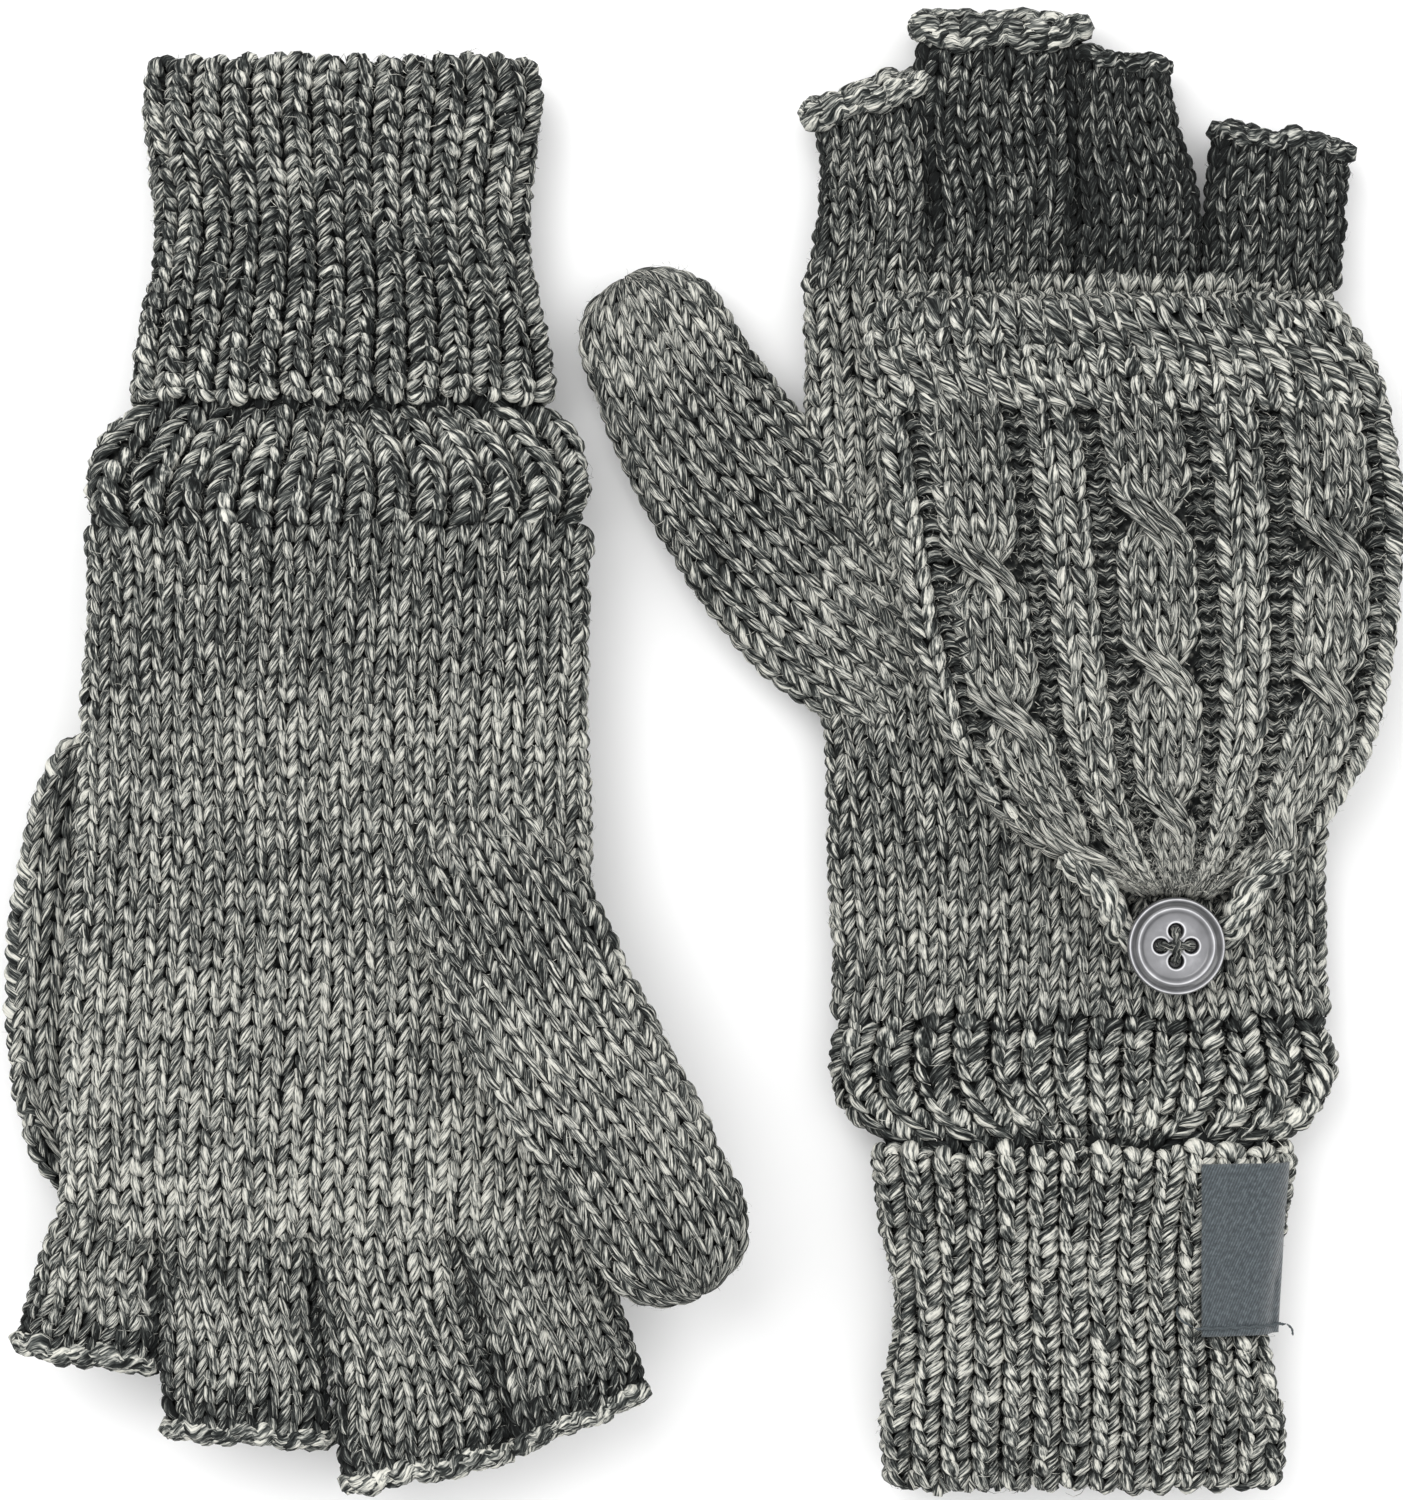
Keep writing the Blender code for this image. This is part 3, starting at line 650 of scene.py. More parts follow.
def knit_hand(side):
    """The hand's stockinette tube from the wrist step to the knuckles."""
    shape = SHAPES[side]
    rows = []
    for y in np.linspace(HAND_START, shape["knuckles"], 60):
        x = shape["knuckle_shift"] * y / shape["knuckles"]
        near_edge = float(1 - smooth((y - HAND_START) / 7.0))
        half = along(HAND_WIDTH, y) - SINK + 0.9 * near_edge
        row = level_ring(x, y, 0.0, half, HAND_HALF_DEPTH - SINK + 0.9 * near_edge)
        row[:, 1] += 0.9 * float(1 - smooth(y / 16.0)) * wavy(row[:, 0], 0.4 * shape["turn"])
        rows.append(row)
    cloth = Cloth(side, rows, HAND_WALES, round((shape["knuckles"] - HAND_START) / COURSE))
    fabric = Fabric(own_seed(side, 11))
    tone = bands(HAND_BAND_SEEDS[side], 0.05, HAND_TONES[side])

    def greyer_wrist(u, v):
        """Darker towards the wrist."""
        return tone(u, v) - GREYER_WRIST[side] * (1 - smooth(v / 0.42))

    fabric.knit(cloth, stockinette(HAND_WALES), tone=greyer_wrist)
    fabric.wall(cloth)
    fabric.fuzz(cloth, FIBRES["hand"])
    made = fabric.build(side + "_hand_knit")
    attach(made, side + "_hand")
    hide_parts(side + "_hand_shell")


FINGER_POWER = 2.4
THICK_ROLL = 0.8  # a rolled edge of a larger radius has a third row and paler yarn
# How each finger's cloth differs from its plain tube: (waist of its outer side, tip moved over, tip
# made narrower, radius of the rolled edge, how far its upper edge is drawn back to show the mouth)
FINGER_LOOKS = {
    "right": {
        "index": (2.4, 0.4, 0.2, 0.95, 0.4),
        "middle": (-0.5, -1.0, -1.2, 1.0, 0.45),
        "ring": (0.0, -3.6, 0.8, 0.6, 0.1),
        "little": (0.2, 0.6, 0.6, 0.6, 0.12),
    },
    "left": {
        "index": (-0.4, 0.0, -0.6, 0.55, 0.05),
        "middle": (-0.3, 0.0, -0.2, 0.55, 0.1),
        "ring": (-0.2, 0.0, -0.1, 0.55, 0.12),
        "little": (0.0, -0.2, 0.2, 0.55, 0.1),
    },
}


def finger_rings(side, name):
    """Sections of a finger from its root to its open edge."""
    base_x, base_half, tip_x, tip_half, tip_y, depth, slope = SHAPES[side]["fingers"][name]
    waist, moved, narrower, radius, tilt = FINGER_LOOKS[side][name]
    turn = SHAPES[side]["turn"]
    start = SHAPES[side]["knuckles"] - 1.5
    rows = []
    for share in np.linspace(0.0, 1.0, 36):
        free = float(smooth((share - 0.3) / 0.7))
        drawn_in = waist * math.sin(math.pi * share)
        swell = (depth - HAND_HALF_DEPTH) * min(1.0, share * 2)
        neck = 0.9 * radius * float(smooth((share - 0.86) / 0.14))
        x = base_x + (tip_x - base_x) * share + moved * free + drawn_in / 2
        half = base_half + (tip_half - base_half) * share - narrower * free - drawn_in / 2 - neck
        half_depth = HAND_HALF_DEPTH + swell - SINK - 0.5 * neck
        y = start + (tip_y - 1.2 - radius - start) * share
        power = POWER + (FINGER_POWER - POWER) * min(1.0, share * 4)
        row = level_ring(x, y, turn * swell, half - 0.25, half_depth, slope * share**2, power)
        row[:, 1] -= tilt * share**2 * turn * row[:, 2]
        row[:, 1] += 0.7 * share**3 * wavy(2.2 * row[:, 0], row[:, 2] * 0.3 + turn)
        rows.append(row)
    return rows


def knit_finger(side, name, number):
    """An open half finger, and the chunky edge that rolls outward at its end."""
    base_x, base_half, _, _, tip_y, _, _ = SHAPES[side]["fingers"][name]
    rows = finger_rings(side, name)
    around = 4 * base_half + 3.2 * HAND_HALF_DEPTH
    wales = round(around / WALE)
    start = SHAPES[side]["knuckles"]
    cloth = Cloth(side, rows, wales, round((tip_y - start) / COURSE))
    fabric = Fabric(20 + number + (10 if side == "left" else 0))
    base = FINGER_TONES[side][name]
    tone = bands(30 + number, 0.04, base)
    # How much painted shade darkens the finger close to its mouth.
    mouth = 0.06 if side == "right" else 0.18

    def shaded_creases(u, v):
        """Painted shade: darker down both sides of the finger, in the creases between fingers, and close to
        its mouth.
        """
        crease_shade = np.abs(np.cos(2 * math.pi * u)) ** 22 * smooth(v / 0.3)
        return tone(u, v) - 0.26 * crease_shade - mouth * smooth((v - 0.72) / 0.25)

    fabric.knit(cloth, stockinette(wales), cell=(0, 0, 1, 0.7), tone=shaded_creases)
    fabric.wall(cloth)
    fabric.fuzz(cloth, FIBRES["finger"], base)
    radius = FINGER_LOOKS[side][name][3]
    edge = rolled_edge(side, rows, wales, radius)
    pale = base + (0.1 if radius > THICK_ROLL else -0.02)
    fabric.knit(edge, edge_columns(wales), cell=(0, 0.72, 1, 0.87), tone=lambda u, v: pale + 0 * u, bulk=1.2)
    made = fabric.build(f"{side}_{name}_finger_knit")
    knuckle = spot(side, base_x, start - 1.0, 0.0)
    beyond = spot(side, base_x, start + 9.0, 0.0)
    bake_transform(made)
    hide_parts(f"{side}_{name}_finger")


def rolled_edge(side, rows, wales, radius):
    """A small cloth that rolls outward from the last ring of a tube, with its purl side out."""
    last = rows[-1]
    ahead = last - rows[-2]
    ahead /= np.linalg.norm(ahead, axis=1)[:, None]
    around = np.roll(last, -1, axis=0) - np.roll(last, 1, axis=0)
    outward = np.cross(ahead, around)
    outward /= np.maximum(np.linalg.norm(outward, axis=1)[:, None], 1e-9)
    outward[:, 2] *= 0.75
    uneven = (1 + 0.25 * wavy(3.1 * last[:, 0], last[:, 2] * 0.4))[:, None]
    rolled = []
    for turn in np.linspace(0.0, 1.5 * math.pi, 16):
        reach = outward * (1 - math.cos(turn)) + ahead * math.sin(turn)
        rolled.append(last + reach * radius * uneven)
    return Cloth(side, rolled, wales, 3 if radius > THICK_ROLL else 2, facing=-1, wobble=0.0)


def edge_columns(wales):
    """Purl columns for a rolled edge."""
    return [
        {"kind": "purl", "path": straight((n + 0.5) / wales), "width": 1 / wales, "lift": flat_lift(-0.1)}
        for n in range(wales)
    ]


def thumb_rows(side):
    """Sections square to the thumb's own line, drawn in towards its tip."""
    shape = SHAPES[side]
    path = np.array(shape["thumb"])
    steps = np.linalg.norm(np.diff(path[:, :3], axis=0), axis=1)
    walked = np.concatenate(([0.0], np.cumsum(steps)))
    tables = [list(zip(walked, path[:, k])) for k in range(4)]

    def centre_at(distance):
        """The thumb's middle at a distance along it."""
        return np.array([float(along(tables[k], distance)) for k in range(3)])

    rows = []
    stations = [(d, 1.0, 0.0) for d in np.linspace(0.0, walked[-1], 40)]
    stations += [(walked[-1], math.cos(a), math.sin(a)) for a in np.linspace(0.08, 1.5, 14)]
    for distance, scale, reach in stations:
        centre = centre_at(distance)
        ahead = centre_at(distance + 1.0) if distance < 1.0 else centre
        behind = centre_at(max(distance - 1.0, 0.0))
        tangent = (ahead - behind) / np.linalg.norm(ahead - behind)
        across = np.array((tangent[1], -tangent[0], 0.0))
        across /= np.linalg.norm(across)
        half = (float(along(tables[3], distance)) - SINK) * scale
        depth = (HAND_HALF_DEPTH - SINK) * (0.2 + 0.8 * scale)
        centre = centre + tangent * (shape["thumb_tip"] - SINK) * reach
        sx, sz = section(max(half, 0.9), max(depth, 0.7))
        rows.append(centre + sx[:, None] * across + sz[:, None] * np.array((0.0, 0.0, 1.0)))
    return rows


THUMB_WALES = 18
THUMB_COURSES = {"right": 30, "left": 31}


def knit_thumb(side):
    """The closed thumb, knitted along its own line."""
    stations = SHAPES[side]["thumb"]
    cloth = Cloth(side, thumb_rows(side), THUMB_WALES, THUMB_COURSES[side])
    fabric = Fabric(own_seed(side, 51))
    fabric.knit(cloth, stockinette(THUMB_WALES), tone=bands(own_seed(side, 53), 0.06, THUMB_TONES[side]))
    fabric.wall(cloth)
    fabric.fuzz(cloth, FIBRES["thumb"])
    made = fabric.build(side + "_thumb_knit")
    root = spot(side, *stations[0][:3])
    free = spot(side, *stations[2][:3])
    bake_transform(made)
    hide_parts(side + "_thumb")


WRIST_KNIT = 0.64  # a wrist rib's share that is knit, before its purl gutter
WRIST_COURSES = 13
LINING_COURSES = 18
LINING_DROP = 1.95  # from the CAD face down to the cloth inside the cuff


def knit_wrist(side):
    """The wrist rib, which swells between the hand and the cuff and runs on inside it."""
    rows = []
    for y in np.linspace(-31.0, 1.5, 30):
        tuck = 0.8 * float(smooth((y + 4.0) / 5.0)) + 0.8 * float(1 - smooth((y + 27.0) / 4.0))
        half = along(RIB_WIDTH, y) - SINK - tuck
        rows.append(level_ring(0.0, y, 0.0, half, along(RIB_DEPTH, y) - SINK - tuck))
    ribs = rib_relief(WRIST_KNIT, 2.0)
    tone = bands(63, 0.05, WRIST_TONES[side])

    def pull(u):
        """How the ribs are drawn together, unevenly, at the cuff."""
        return -0.034 * np.sin(4 * math.pi * (u - 0.25)) + 0.007 * np.sin(2 * math.pi * (7 * u + 0.3))

    def gathers(u, v):
        """Some ribs stand out more than others."""
        return ribs(u, v) + 0.5 * np.sin(2 * math.pi * (5 * u + 0.35 * v)) * np.sin(math.pi * v)

    def shaded(u, v):
        """Darker where the cuff and the hand hang over the ribs."""
        under_cuff = 1 - smooth((v - 0.24) / 0.16)
        under_hand = smooth((v - 0.84) / 0.08)
        return tone(u, v) - 0.34 * under_cuff - 0.2 * under_hand

    def fan(u, v):
        """The ribs spread from the cuff to the hand."""
        return (1 - v) * pull(u)

    cloth = Cloth(side, rows, RIBS * 2, WRIST_COURSES, relief=gathers, warp=fan, wobble=0.6)
    fabric = Fabric(own_seed(side, 61))
    columns = rib_columns(WRIST_KNIT, -0.5, -0.2)
    fabric.knit(cloth, columns, cell=(0, 0, 1, 0.45), tone=shaded, bulk=1.04)
    fabric.wall(cloth, cell=(0, 0.89, 1, 0.94), detail=(2, 2))
    fabric.fuzz(cloth, FIBRES["wrist"], WRIST_TONES[side])
    inner = []
    for y in np.linspace(-74.5, -29.0, 30):
        half = along(RIB_WIDTH, y) - LINING_DROP
        inner.append(level_ring(0.0, y, 0.0, half, RIB_DEPTH[0][1] - LINING_DROP))
    low_ribs = rib_relief(WRIST_KNIT, 0.7)

    def drawn_in(u, v):
        """The ribs stay together inside the cuff."""
        return pull(u)

    lining = Cloth(side, inner, RIBS * 2, LINING_COURSES, relief=low_ribs, warp=drawn_in, wobble=0.1)
    # The lining is painted 0.08 darker, as shade under the cuff.
    fabric.knit(lining, columns, cell=(0, 0.46, 1, 0.88), tone=lambda u, v: tone(u, v) - 0.08, bulk=0.85)
    fabric.wall(lining, thickness=1.0, cell=(0, 0.95, 1, 1.0), detail=(2, 2))
    made = fabric.build(side + "_wrist_rib_knit")
    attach(made, side + "_hand")
    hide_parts(side + "_wrist_rib")


def cuff_rings():
    """The turned cuff: from inside its folded bottom, round the fold and up to its free edge."""
    profile = [(-74.5, 3.1), (-77.0, 2.9), (-78.6, 2.2), (-79.2, 1.2), (-78.8, 0.45), (-77.6, 0.1)]
    profile += [(y, 0.0) for y in np.linspace(-76.0, -25.5, 30)]
    profile += [(-24.2, 0.1), (-23.4, 0.7), (-23.2, 1.6)]
    rows = []
    for y, tuck in profile:
        half = along(CUFF_WIDTH, y) - SINK - tuck
        row = level_ring(0.0, y, 0.0, half, CUFF_HALF_DEPTH - SINK - tuck)
        row[:, 1] += 0.7 * float(smooth((y + 36.0) / 12.0)) * wavy(1.7 * row[:, 0], 0.7)
        rows.append(row)
    return rows


CUFF_KNIT = 0.68  # a cuff rib's share that is knit
CUFF_COURSES = 28


def knit_cuff(side):
    """The turned-up cuff in close ribs, with a lumpy cast-on edge at its top."""
    cloth = Cloth(side, cuff_rings(), RIBS * 2, CUFF_COURSES, relief=rib_relief(CUFF_KNIT, 1.8), wobble=0.4)
    fabric = Fabric(own_seed(side, 71))
    tone = bands(73, 0.04, CUFF_TONES[side])

    def edged(u, v):
        """Paler along the cast-on edge."""
        return tone(u, v) + 0.12 * smooth((v - 0.92) / 0.04)

    fabric.knit(cloth, rib_columns(CUFF_KNIT, -0.7, -0.3), tone=edged)
    fabric.wall(cloth, thickness=1.3, detail=(2, 2))
    fabric.fuzz(cloth, FIBRES["cuff"])
    made = fabric.build(side + "_cuff_knit")
    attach(made, side + "_cuff")
    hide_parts(side + "_turned_cuff")


# The flip cap

CAP_BASE = HINGE_Z - FABRIC / 2  # where the front sheet folds down onto the back one
CAP_RISE = 7.2
CAP_END = CAP_LENGTH + 1.0
CABLE_PERIOD = 22.3  # from one crossing to the next
CABLE_TURN = 10.5  # length of a crossing
CABLE_FRONT = 1.5  # how far the crossing pair in front stands up
CABLE_BACK = 0.9  # and the one behind it lies down
# Columns across the cap: (kind, width in mm, stitch columns, first crossing's distance from the hinge)
CAP_LAYOUT = (("knit", 7.0, 2, 0.0), ("purl", 4.6, 1, 0.0), ("cable", 13.4, 4, 41.0), ("purl", 5.3, 2, 0.0))
CAP_LAYOUT += (("knit", 7.9, 2, 0.0), ("purl", 5.6, 2, 0.0), ("cable", 13.5, 4, 34.0), ("purl", 5.6, 2, 0.0))
CAP_LAYOUT += (("knit", 7.9, 2, 0.0), ("purl", 6.0, 2, 0.0), ("cable", 13.4, 4, 37.5), ("purl", 5.0, 1, 0.0))
CAP_LAYOUT += (("knit", 4.0, 1, 0.0),)
CAP_WIDTH = sum(entry[1] for entry in CAP_LAYOUT)
PANEL_WALES = 33  # how finely the panel's cloth is divided; CAP_LAYOUT says its stitch columns
PANEL_COURSES = 32


def cap_row(side, distance, base, rise, power=3.6):
    """An arch across the cap at a distance from the hinge."""
    shape = SHAPES[side]
    shift = shape["cap_shift"] * min(1.0, distance / 20.0) * (distance < 80.0)
    centre = along(CAP_OUTLINE, distance, 1) + shift
    half = along(CAP_OUTLINE, distance, 2) - 0.8
    angle = np.linspace(math.pi, 0.0, 240)
    c, s = np.cos(angle), np.sin(angle)
    x = centre + half * np.sign(c) * np.abs(c) ** (2 / power)
    z = base + rise * np.abs(s) ** (2 / power)
    return np.column_stack((x, np.full(len(x), shape["hinge_y"] - distance), z))


def cap_rise(distance):
    """Height of the front sheet over the back one, which closes at the tip."""
    return CAP_RISE * np.sqrt(np.clip((CAP_END + 8.0 - distance) / 34.0, 0.0, 1.0))


HEM_FOLD = 1.6  # distance from the hinge at which the hem folds inward


def front_rows(side):
    """From the closed tip to the fold of the hem."""
    stations = [(CAP_END - back, share) for back, share in ((0.0, 0.15), (0.4, 0.5), (1.4, 0.82), (3.0, 1.0))]
    stations += [(distance, 1.0) for distance in np.linspace(CAP_END - 4.5, HEM_FOLD, 60)]
    return [cap_row(side, distance, CAP_BASE, cap_rise(distance) * share) for distance, share in stations]


def cap_columns():
    """Each column's path over the cap, with the crossings of its cables."""
    columns = []
    start = 0.0
    for kind, width, count, crossing in CAP_LAYOUT:
        each = width / count / CAP_WIDTH
        left = start / CAP_WIDTH
        for k in range(count):
            if kind == "cable":
                columns.append(cable_column(left, each, k, crossing))
            else:
                columns.append({
                    "kind": kind,
                    "path": straight(left + (k + 0.5) * each, 0.0012),
                    "width": each,
                    "lift": flat_lift(0.0 if kind == "knit" else -0.4),
                    # Painted shade: the sunk purl gutters are darker; the knit ribs are a touch paler.
                    "tone": 0.02 if kind == "knit" else -0.13,
                })
        start += width
    return columns


PANEL_SPAN = CAP_END - CAP_HEM


def cable_column(left, each, number, crossing):
    """One of four columns. At a crossing its pair swaps places with the other pair."""
    middles = [crossing + turn * CABLE_PERIOD for turn in range(4)]
    middles = [m for m in middles if m < CAP_LENGTH - 8.0]
    shift = 2.0 if number < 2 else -2.0

    def crossings(v, row):
        """How far over, and how high, a stitch of the given row is at v."""
        distance = CAP_END - v * PANEL_SPAN
        own = CAP_END - row * PANEL_SPAN + 0.0 * v
        over = np.zeros(distance.shape)
        height = np.zeros(distance.shape)
        for middle in middles:
            near = np.abs(own - middle) < CABLE_TURN / 2 + COURSE
            progress = smooth((distance - middle) / CABLE_TURN + 0.5)
            above = own < middle
            over += near * np.where(above, progress, 1.0 - progress)
            in_front = above == (number < 2)
            crest = np.sin(math.pi * smooth((distance - middle) / (CABLE_TURN * 1.3) + 0.5))
            height += near * crest * np.where(in_front, CABLE_FRONT, -CABLE_BACK)
        return over, height

    def path(v, row):
        over, _ = crossings(v, row)
        return left + (number + shift * over + 0.5) * each

    def lift(v, row):
        _, height = crossings(v, row)
        return height

    return {"kind": "knit", "path": path, "width": each, "lift": lift}


def cap_relief(u, v):
    """Cables and ribs stand proud of the purl gutters."""
    distance = CAP_END - v * PANEL_SPAN
    height = np.zeros(np.broadcast(u, v).shape)
    start = 0.0
    fade = smooth((CAP_LENGTH - distance) / 14.0) * 0.75 + 0.25
    for kind, width, _, _ in CAP_LAYOUT:
        inside = np.clip((u - start / CAP_WIDTH) / (width / CAP_WIDTH), 0.0, 1.0)
        crest = np.sqrt(np.sin(math.pi * inside))
        if kind == "cable":
            height = height + 2.1 * crest * fade
        elif kind == "knit":
            height = height + 1.8 * crest * fade
        start += width
    return height - 1.4


HEM_WALES = 21
HEM_COURSES = 9
HEM_SLANT = -0.035


def hem_relief(u, v):
    """Each column of the hem is a soft ridge, and the lower edge lies down on the panel."""
    ridge = np.abs(np.sin(math.pi * HEM_WALES * (u - HEM_SLANT * (v - 0.5))))
    return 0.9 * np.sqrt(ridge) - 0.4 - 0.5 * (1 - smooth(v / 0.12))


def knit_cap(side):
    """The cap's front sheet: the cable panel, then the hem, which folds back inside."""
    rows = front_rows(side)
    split = next(i for i, row in enumerate(rows) if SHAPES[side]["hinge_y"] - row[0, 1] < CAP_HEM)
    panel_rows = rows[: split + 1]
    panel = Cloth(side, panel_rows, PANEL_WALES, PANEL_COURSES, closed=False, relief=cap_relief, facing=-1)
    fabric = Fabric(own_seed(side, 81))
    tone = bands(83, 0.04, -0.02)

    def paler_tip(u, v):
        """Paler towards the cap's tip."""
        return tone(u, v) + 0.2 * (1 - v) ** 2.5

    fabric.knit(panel, cap_columns(), cell=(0, 0, 1, 0.6), tone=paler_tip)
    fabric.wall(panel, cell=(0, 0.89, 1, 0.945), detail=(4, 2))
    fabric.fuzz(panel, FIBRES["cap"])
    hem_rows = rows[split - 1 :]
    fold = [(HEM_FOLD - 1.5 * math.sin(a), 1.5 * (1 - math.cos(a))) for a in np.linspace(0.2, math.pi, 7)]
    for distance, fall in [*fold, (3.5, 3.0), (6.0, 3.0)]:
        hem_rows.append(cap_row(side, distance, CAP_BASE, cap_rise(0.0) - fall))
    hem = Cloth(side, hem_rows, HEM_WALES, HEM_COURSES, closed=False, relief=hem_relief, facing=-1)
    columns = stockinette(HEM_WALES, slant=HEM_SLANT)
    fabric.knit(hem, columns, cell=(0, 0.62, 1, 0.87), tone=bands(84, 0.03, -0.02), bulk=1.12)
    fabric.wall(hem, thickness=1.2, cell=(0, 0.95, 1, 1.0), detail=(4, 2))
    fabric.fuzz(hem, FIBRES["hem"])
    made = fabric.build(side + "_cap_front_knit")
    low = spot(side, 0.0, 60.0, CAP_BASE)
    high = spot(side, 0.0, 60.0, CAP_BASE + 5.0)
    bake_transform(made)
    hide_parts(side + "_cap_cable_panel", side + "_cap_hem")


def knit_cap_back(side):
    """The sheet that lies on the hand and becomes the outside when the cap is over the fingers."""
    level = HINGE_Z - FABRIC + SINK
    rows = [cap_row(side, distance, level, 0.0) for distance in np.linspace(CAP_LENGTH, 0.2, 50)]
    wales = 22
    cloth = Cloth(side, rows, wales, 37, closed=False)
    fabric = Fabric(own_seed(side, 91))
    fabric.knit(cloth, stockinette(wales), tone=bands(93, 0.06))
    fabric.wall(cloth, thickness=1.0)
    made = fabric.build(side + "_cap_back_knit")
    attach(made, side + "_cap")
    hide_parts(side + "_cap_back_panel")


def knit_hinge(side):
    """The few courses that join the back panel to the hand."""
    hinge_y = SHAPES[side]["hinge_y"]
    width = along(CAP_OUTLINE, 0.0, 2) - 4.0
    centre = along(CAP_OUTLINE, 0.0, 1)
    x = np.linspace(centre - width, centre + width, 60)
    stations = [(0.1, HINGE_Z - 1.1), (1.2, HINGE_Z - 1.3), (2.4, HINGE_Z - 2.2)]
    stations.append((3.2, HAND_HALF_DEPTH - 0.4))
    rows = [np.stack(np.broadcast_arrays(x, hinge_y + y, z), axis=-1) for y, z in stations]
    wales = 19
    cloth = Cloth(side, rows, wales, 2, closed=False, facing=-1)
    fabric = Fabric(own_seed(side, 95))
    fabric.knit(cloth, stockinette(wales))
    fabric.wall(cloth, thickness=1.0)
    made = fabric.build(side + "_cap_hinge_knit")
    near = spot(side, 0.0, hinge_y + 3.2, HINGE_Z)
    far = spot(side, 0.0, hinge_y + 0.1, HINGE_Z)
    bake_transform(made)
    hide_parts(side + "_cap_hinge_strip")


# Trim


def rope(fabric, side, path, radius, strands, twist, cell, tone=0.04):
    """Twisted strands of yarn along a path in the hand frame; twist is the length of one turn."""
    path = np.asarray(path, float)
    steps = np.linalg.norm(np.diff(path, axis=0), axis=1)
    walked = np.concatenate(([0.0], np.cumsum(steps)))
    count = max(int(walked[-1] / 0.45), 12)
    wanted = np.linspace(0.0, walked[-1], count)
    line = np.column_stack([np.interp(wanted, walked, path[:, k]) for k in range(3)])
    for _ in range(3):
        line[1:-1] = (line[:-2] + line[1:-1] * 2 + line[2:]) / 4
    tangent = np.gradient(line, axis=0)
    tangent /= np.linalg.norm(tangent, axis=1)[:, None]
    first = np.cross(tangent, (0.13, 0.21, 0.97))
    first /= np.linalg.norm(first, axis=1)[:, None]
    second = np.cross(tangent, first)
    sides = 8
    around = np.arange(sides + 1) * 2 * math.pi / sides
    ring = np.cos(around)[None, :, None] * first[:, None] + np.sin(around)[None, :, None] * second[:, None]
    ends = np.minimum(1.0, np.minimum(np.arange(count), np.arange(count)[::-1]) / 2.0 + 0.05)
    thin = radius * 0.62
    for number in range(strands):
        turn = wanted / twist * 2 * math.pi + number * 2 * math.pi / strands
        offset = (radius - thin) * (np.cos(turn)[:, None] * first + np.sin(turn)[:, None] * second)
        points = (line + offset)[:, None] + ring * (thin * ends)[:, None, None]
        length, angle = np.meshgrid(wanted, around, indexing="ij")
        strand = np.stack((length + 90 * number, angle, np.full(length.shape, 0.37 * number + 0.2)), axis=-1)
        faces = grid_faces(count, sides + 1)
        if SHAPES[side]["turn"] < 0:
            faces = faces[:, ::-1]
        uv = in_cell(cell, angle / (2 * math.pi), (number + 0.05 + 0.9 * length / wanted[-1]) / strands)
        fabric.add(place(side, points), faces, strand, tone, uv)


def button_centre(side):
    """The button's middle in the hand frame, from its CAD box."""
    low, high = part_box(side + "_button")
    step = wrist_step(side)
    turn = SHAPES[side]["turn"]
    return turn * ((low.x + high.x) / 2 / MM - step[0]), turn * ((low.y + high.y) / 2 / MM - step[1])


LOOP_BEND = 4.0  # radius of the loop round the button's shank
# The right cord beside the button, from its middle: across, along and up
HUG_PATH = ((18.5, 15.6, 3.4), (15.2, 12.4, 4.6), (12.2, 9.2, 4.8))
HUG_PATH += ((10.5, 5.6, 3.6), (9.4, 2.6, 1.6), (6.4, 0.8, -0.2))


def knit_loop(side):
    """Cords that run on from the cap's tip, hug the button and pass round its shank."""
    x, y = button_centre(side)
    fabric = Fabric(97)
    z = HAND_HALF_DEPTH + 1.5
    bend = [(LOOP_BEND * math.cos(a), LOOP_BEND * math.sin(a)) for a in np.linspace(math.pi, 2 * math.pi, 9)]
    under = [(-LOOP_BEND, 7.0), *bend, (LOOP_BEND, 7.0)]
    rope(fabric, side, [(x + dx, y + dy, z) for dx, dy in under], 1.2, 2, 5.0, (0, 0, 1, 0.3))
    for number, way in enumerate((-1, 1)):
        hug = [(x + way * across, y + climb, z + up) for across, climb, up in HUG_PATH]
        rope(fabric, side, hug, 2.9, 3, 10.0, (0, 0.35 + 0.3 * number, 1, 0.62 + 0.3 * number), 0.14)
    made = fabric.build(side + "_loop_knit")
    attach(made, side + "_cap")
    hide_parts(side + "_button_loop")


BUTTON_RADIUS = 8.1
BUTTON_THICK = 3.0
BUTTON_Z = HAND_HALF_DEPTH + GAP + 3.6  # the disc's underside
BUTTON_SPOKES = 180
HOLE_RADIUS = 1.2
HOLE_OFFSET = 2.5
# The button's profile as (share of its radius, height), and how bright its front is painted at each share:
# painted highlights on its ridges and rim, painted shade in its grooves
BUTTON_FACE = ((0.012, 1.6), (0.5, 1.6), (0.66, 1.85), (0.73, 2.3), (0.77, 2.45), (0.81, 2.2), (0.88, 2.45))
BUTTON_FACE += ((0.93, 2.9), (0.955, 3.0), (0.98, 2.75), (1.0, 1.9))
BUTTON_BACK = ((1.0, 1.3), (0.86, 0.4), (0.45, 0.05), (0.012, 0.0))
BUTTON_LIGHT_AND_SHADE = ((0.0, 0.6), (0.45, 0.62), (0.62, 0.52), (0.7, 0.42), (0.745, 0.62), (0.77, 0.86))
BUTTON_LIGHT_AND_SHADE += ((0.795, 0.5), (0.83, 0.2), (0.9, 0.34), (0.935, 0.6))
BUTTON_LIGHT_AND_SHADE += ((0.955, 0.88), (0.975, 0.5), (1.0, 0.3))


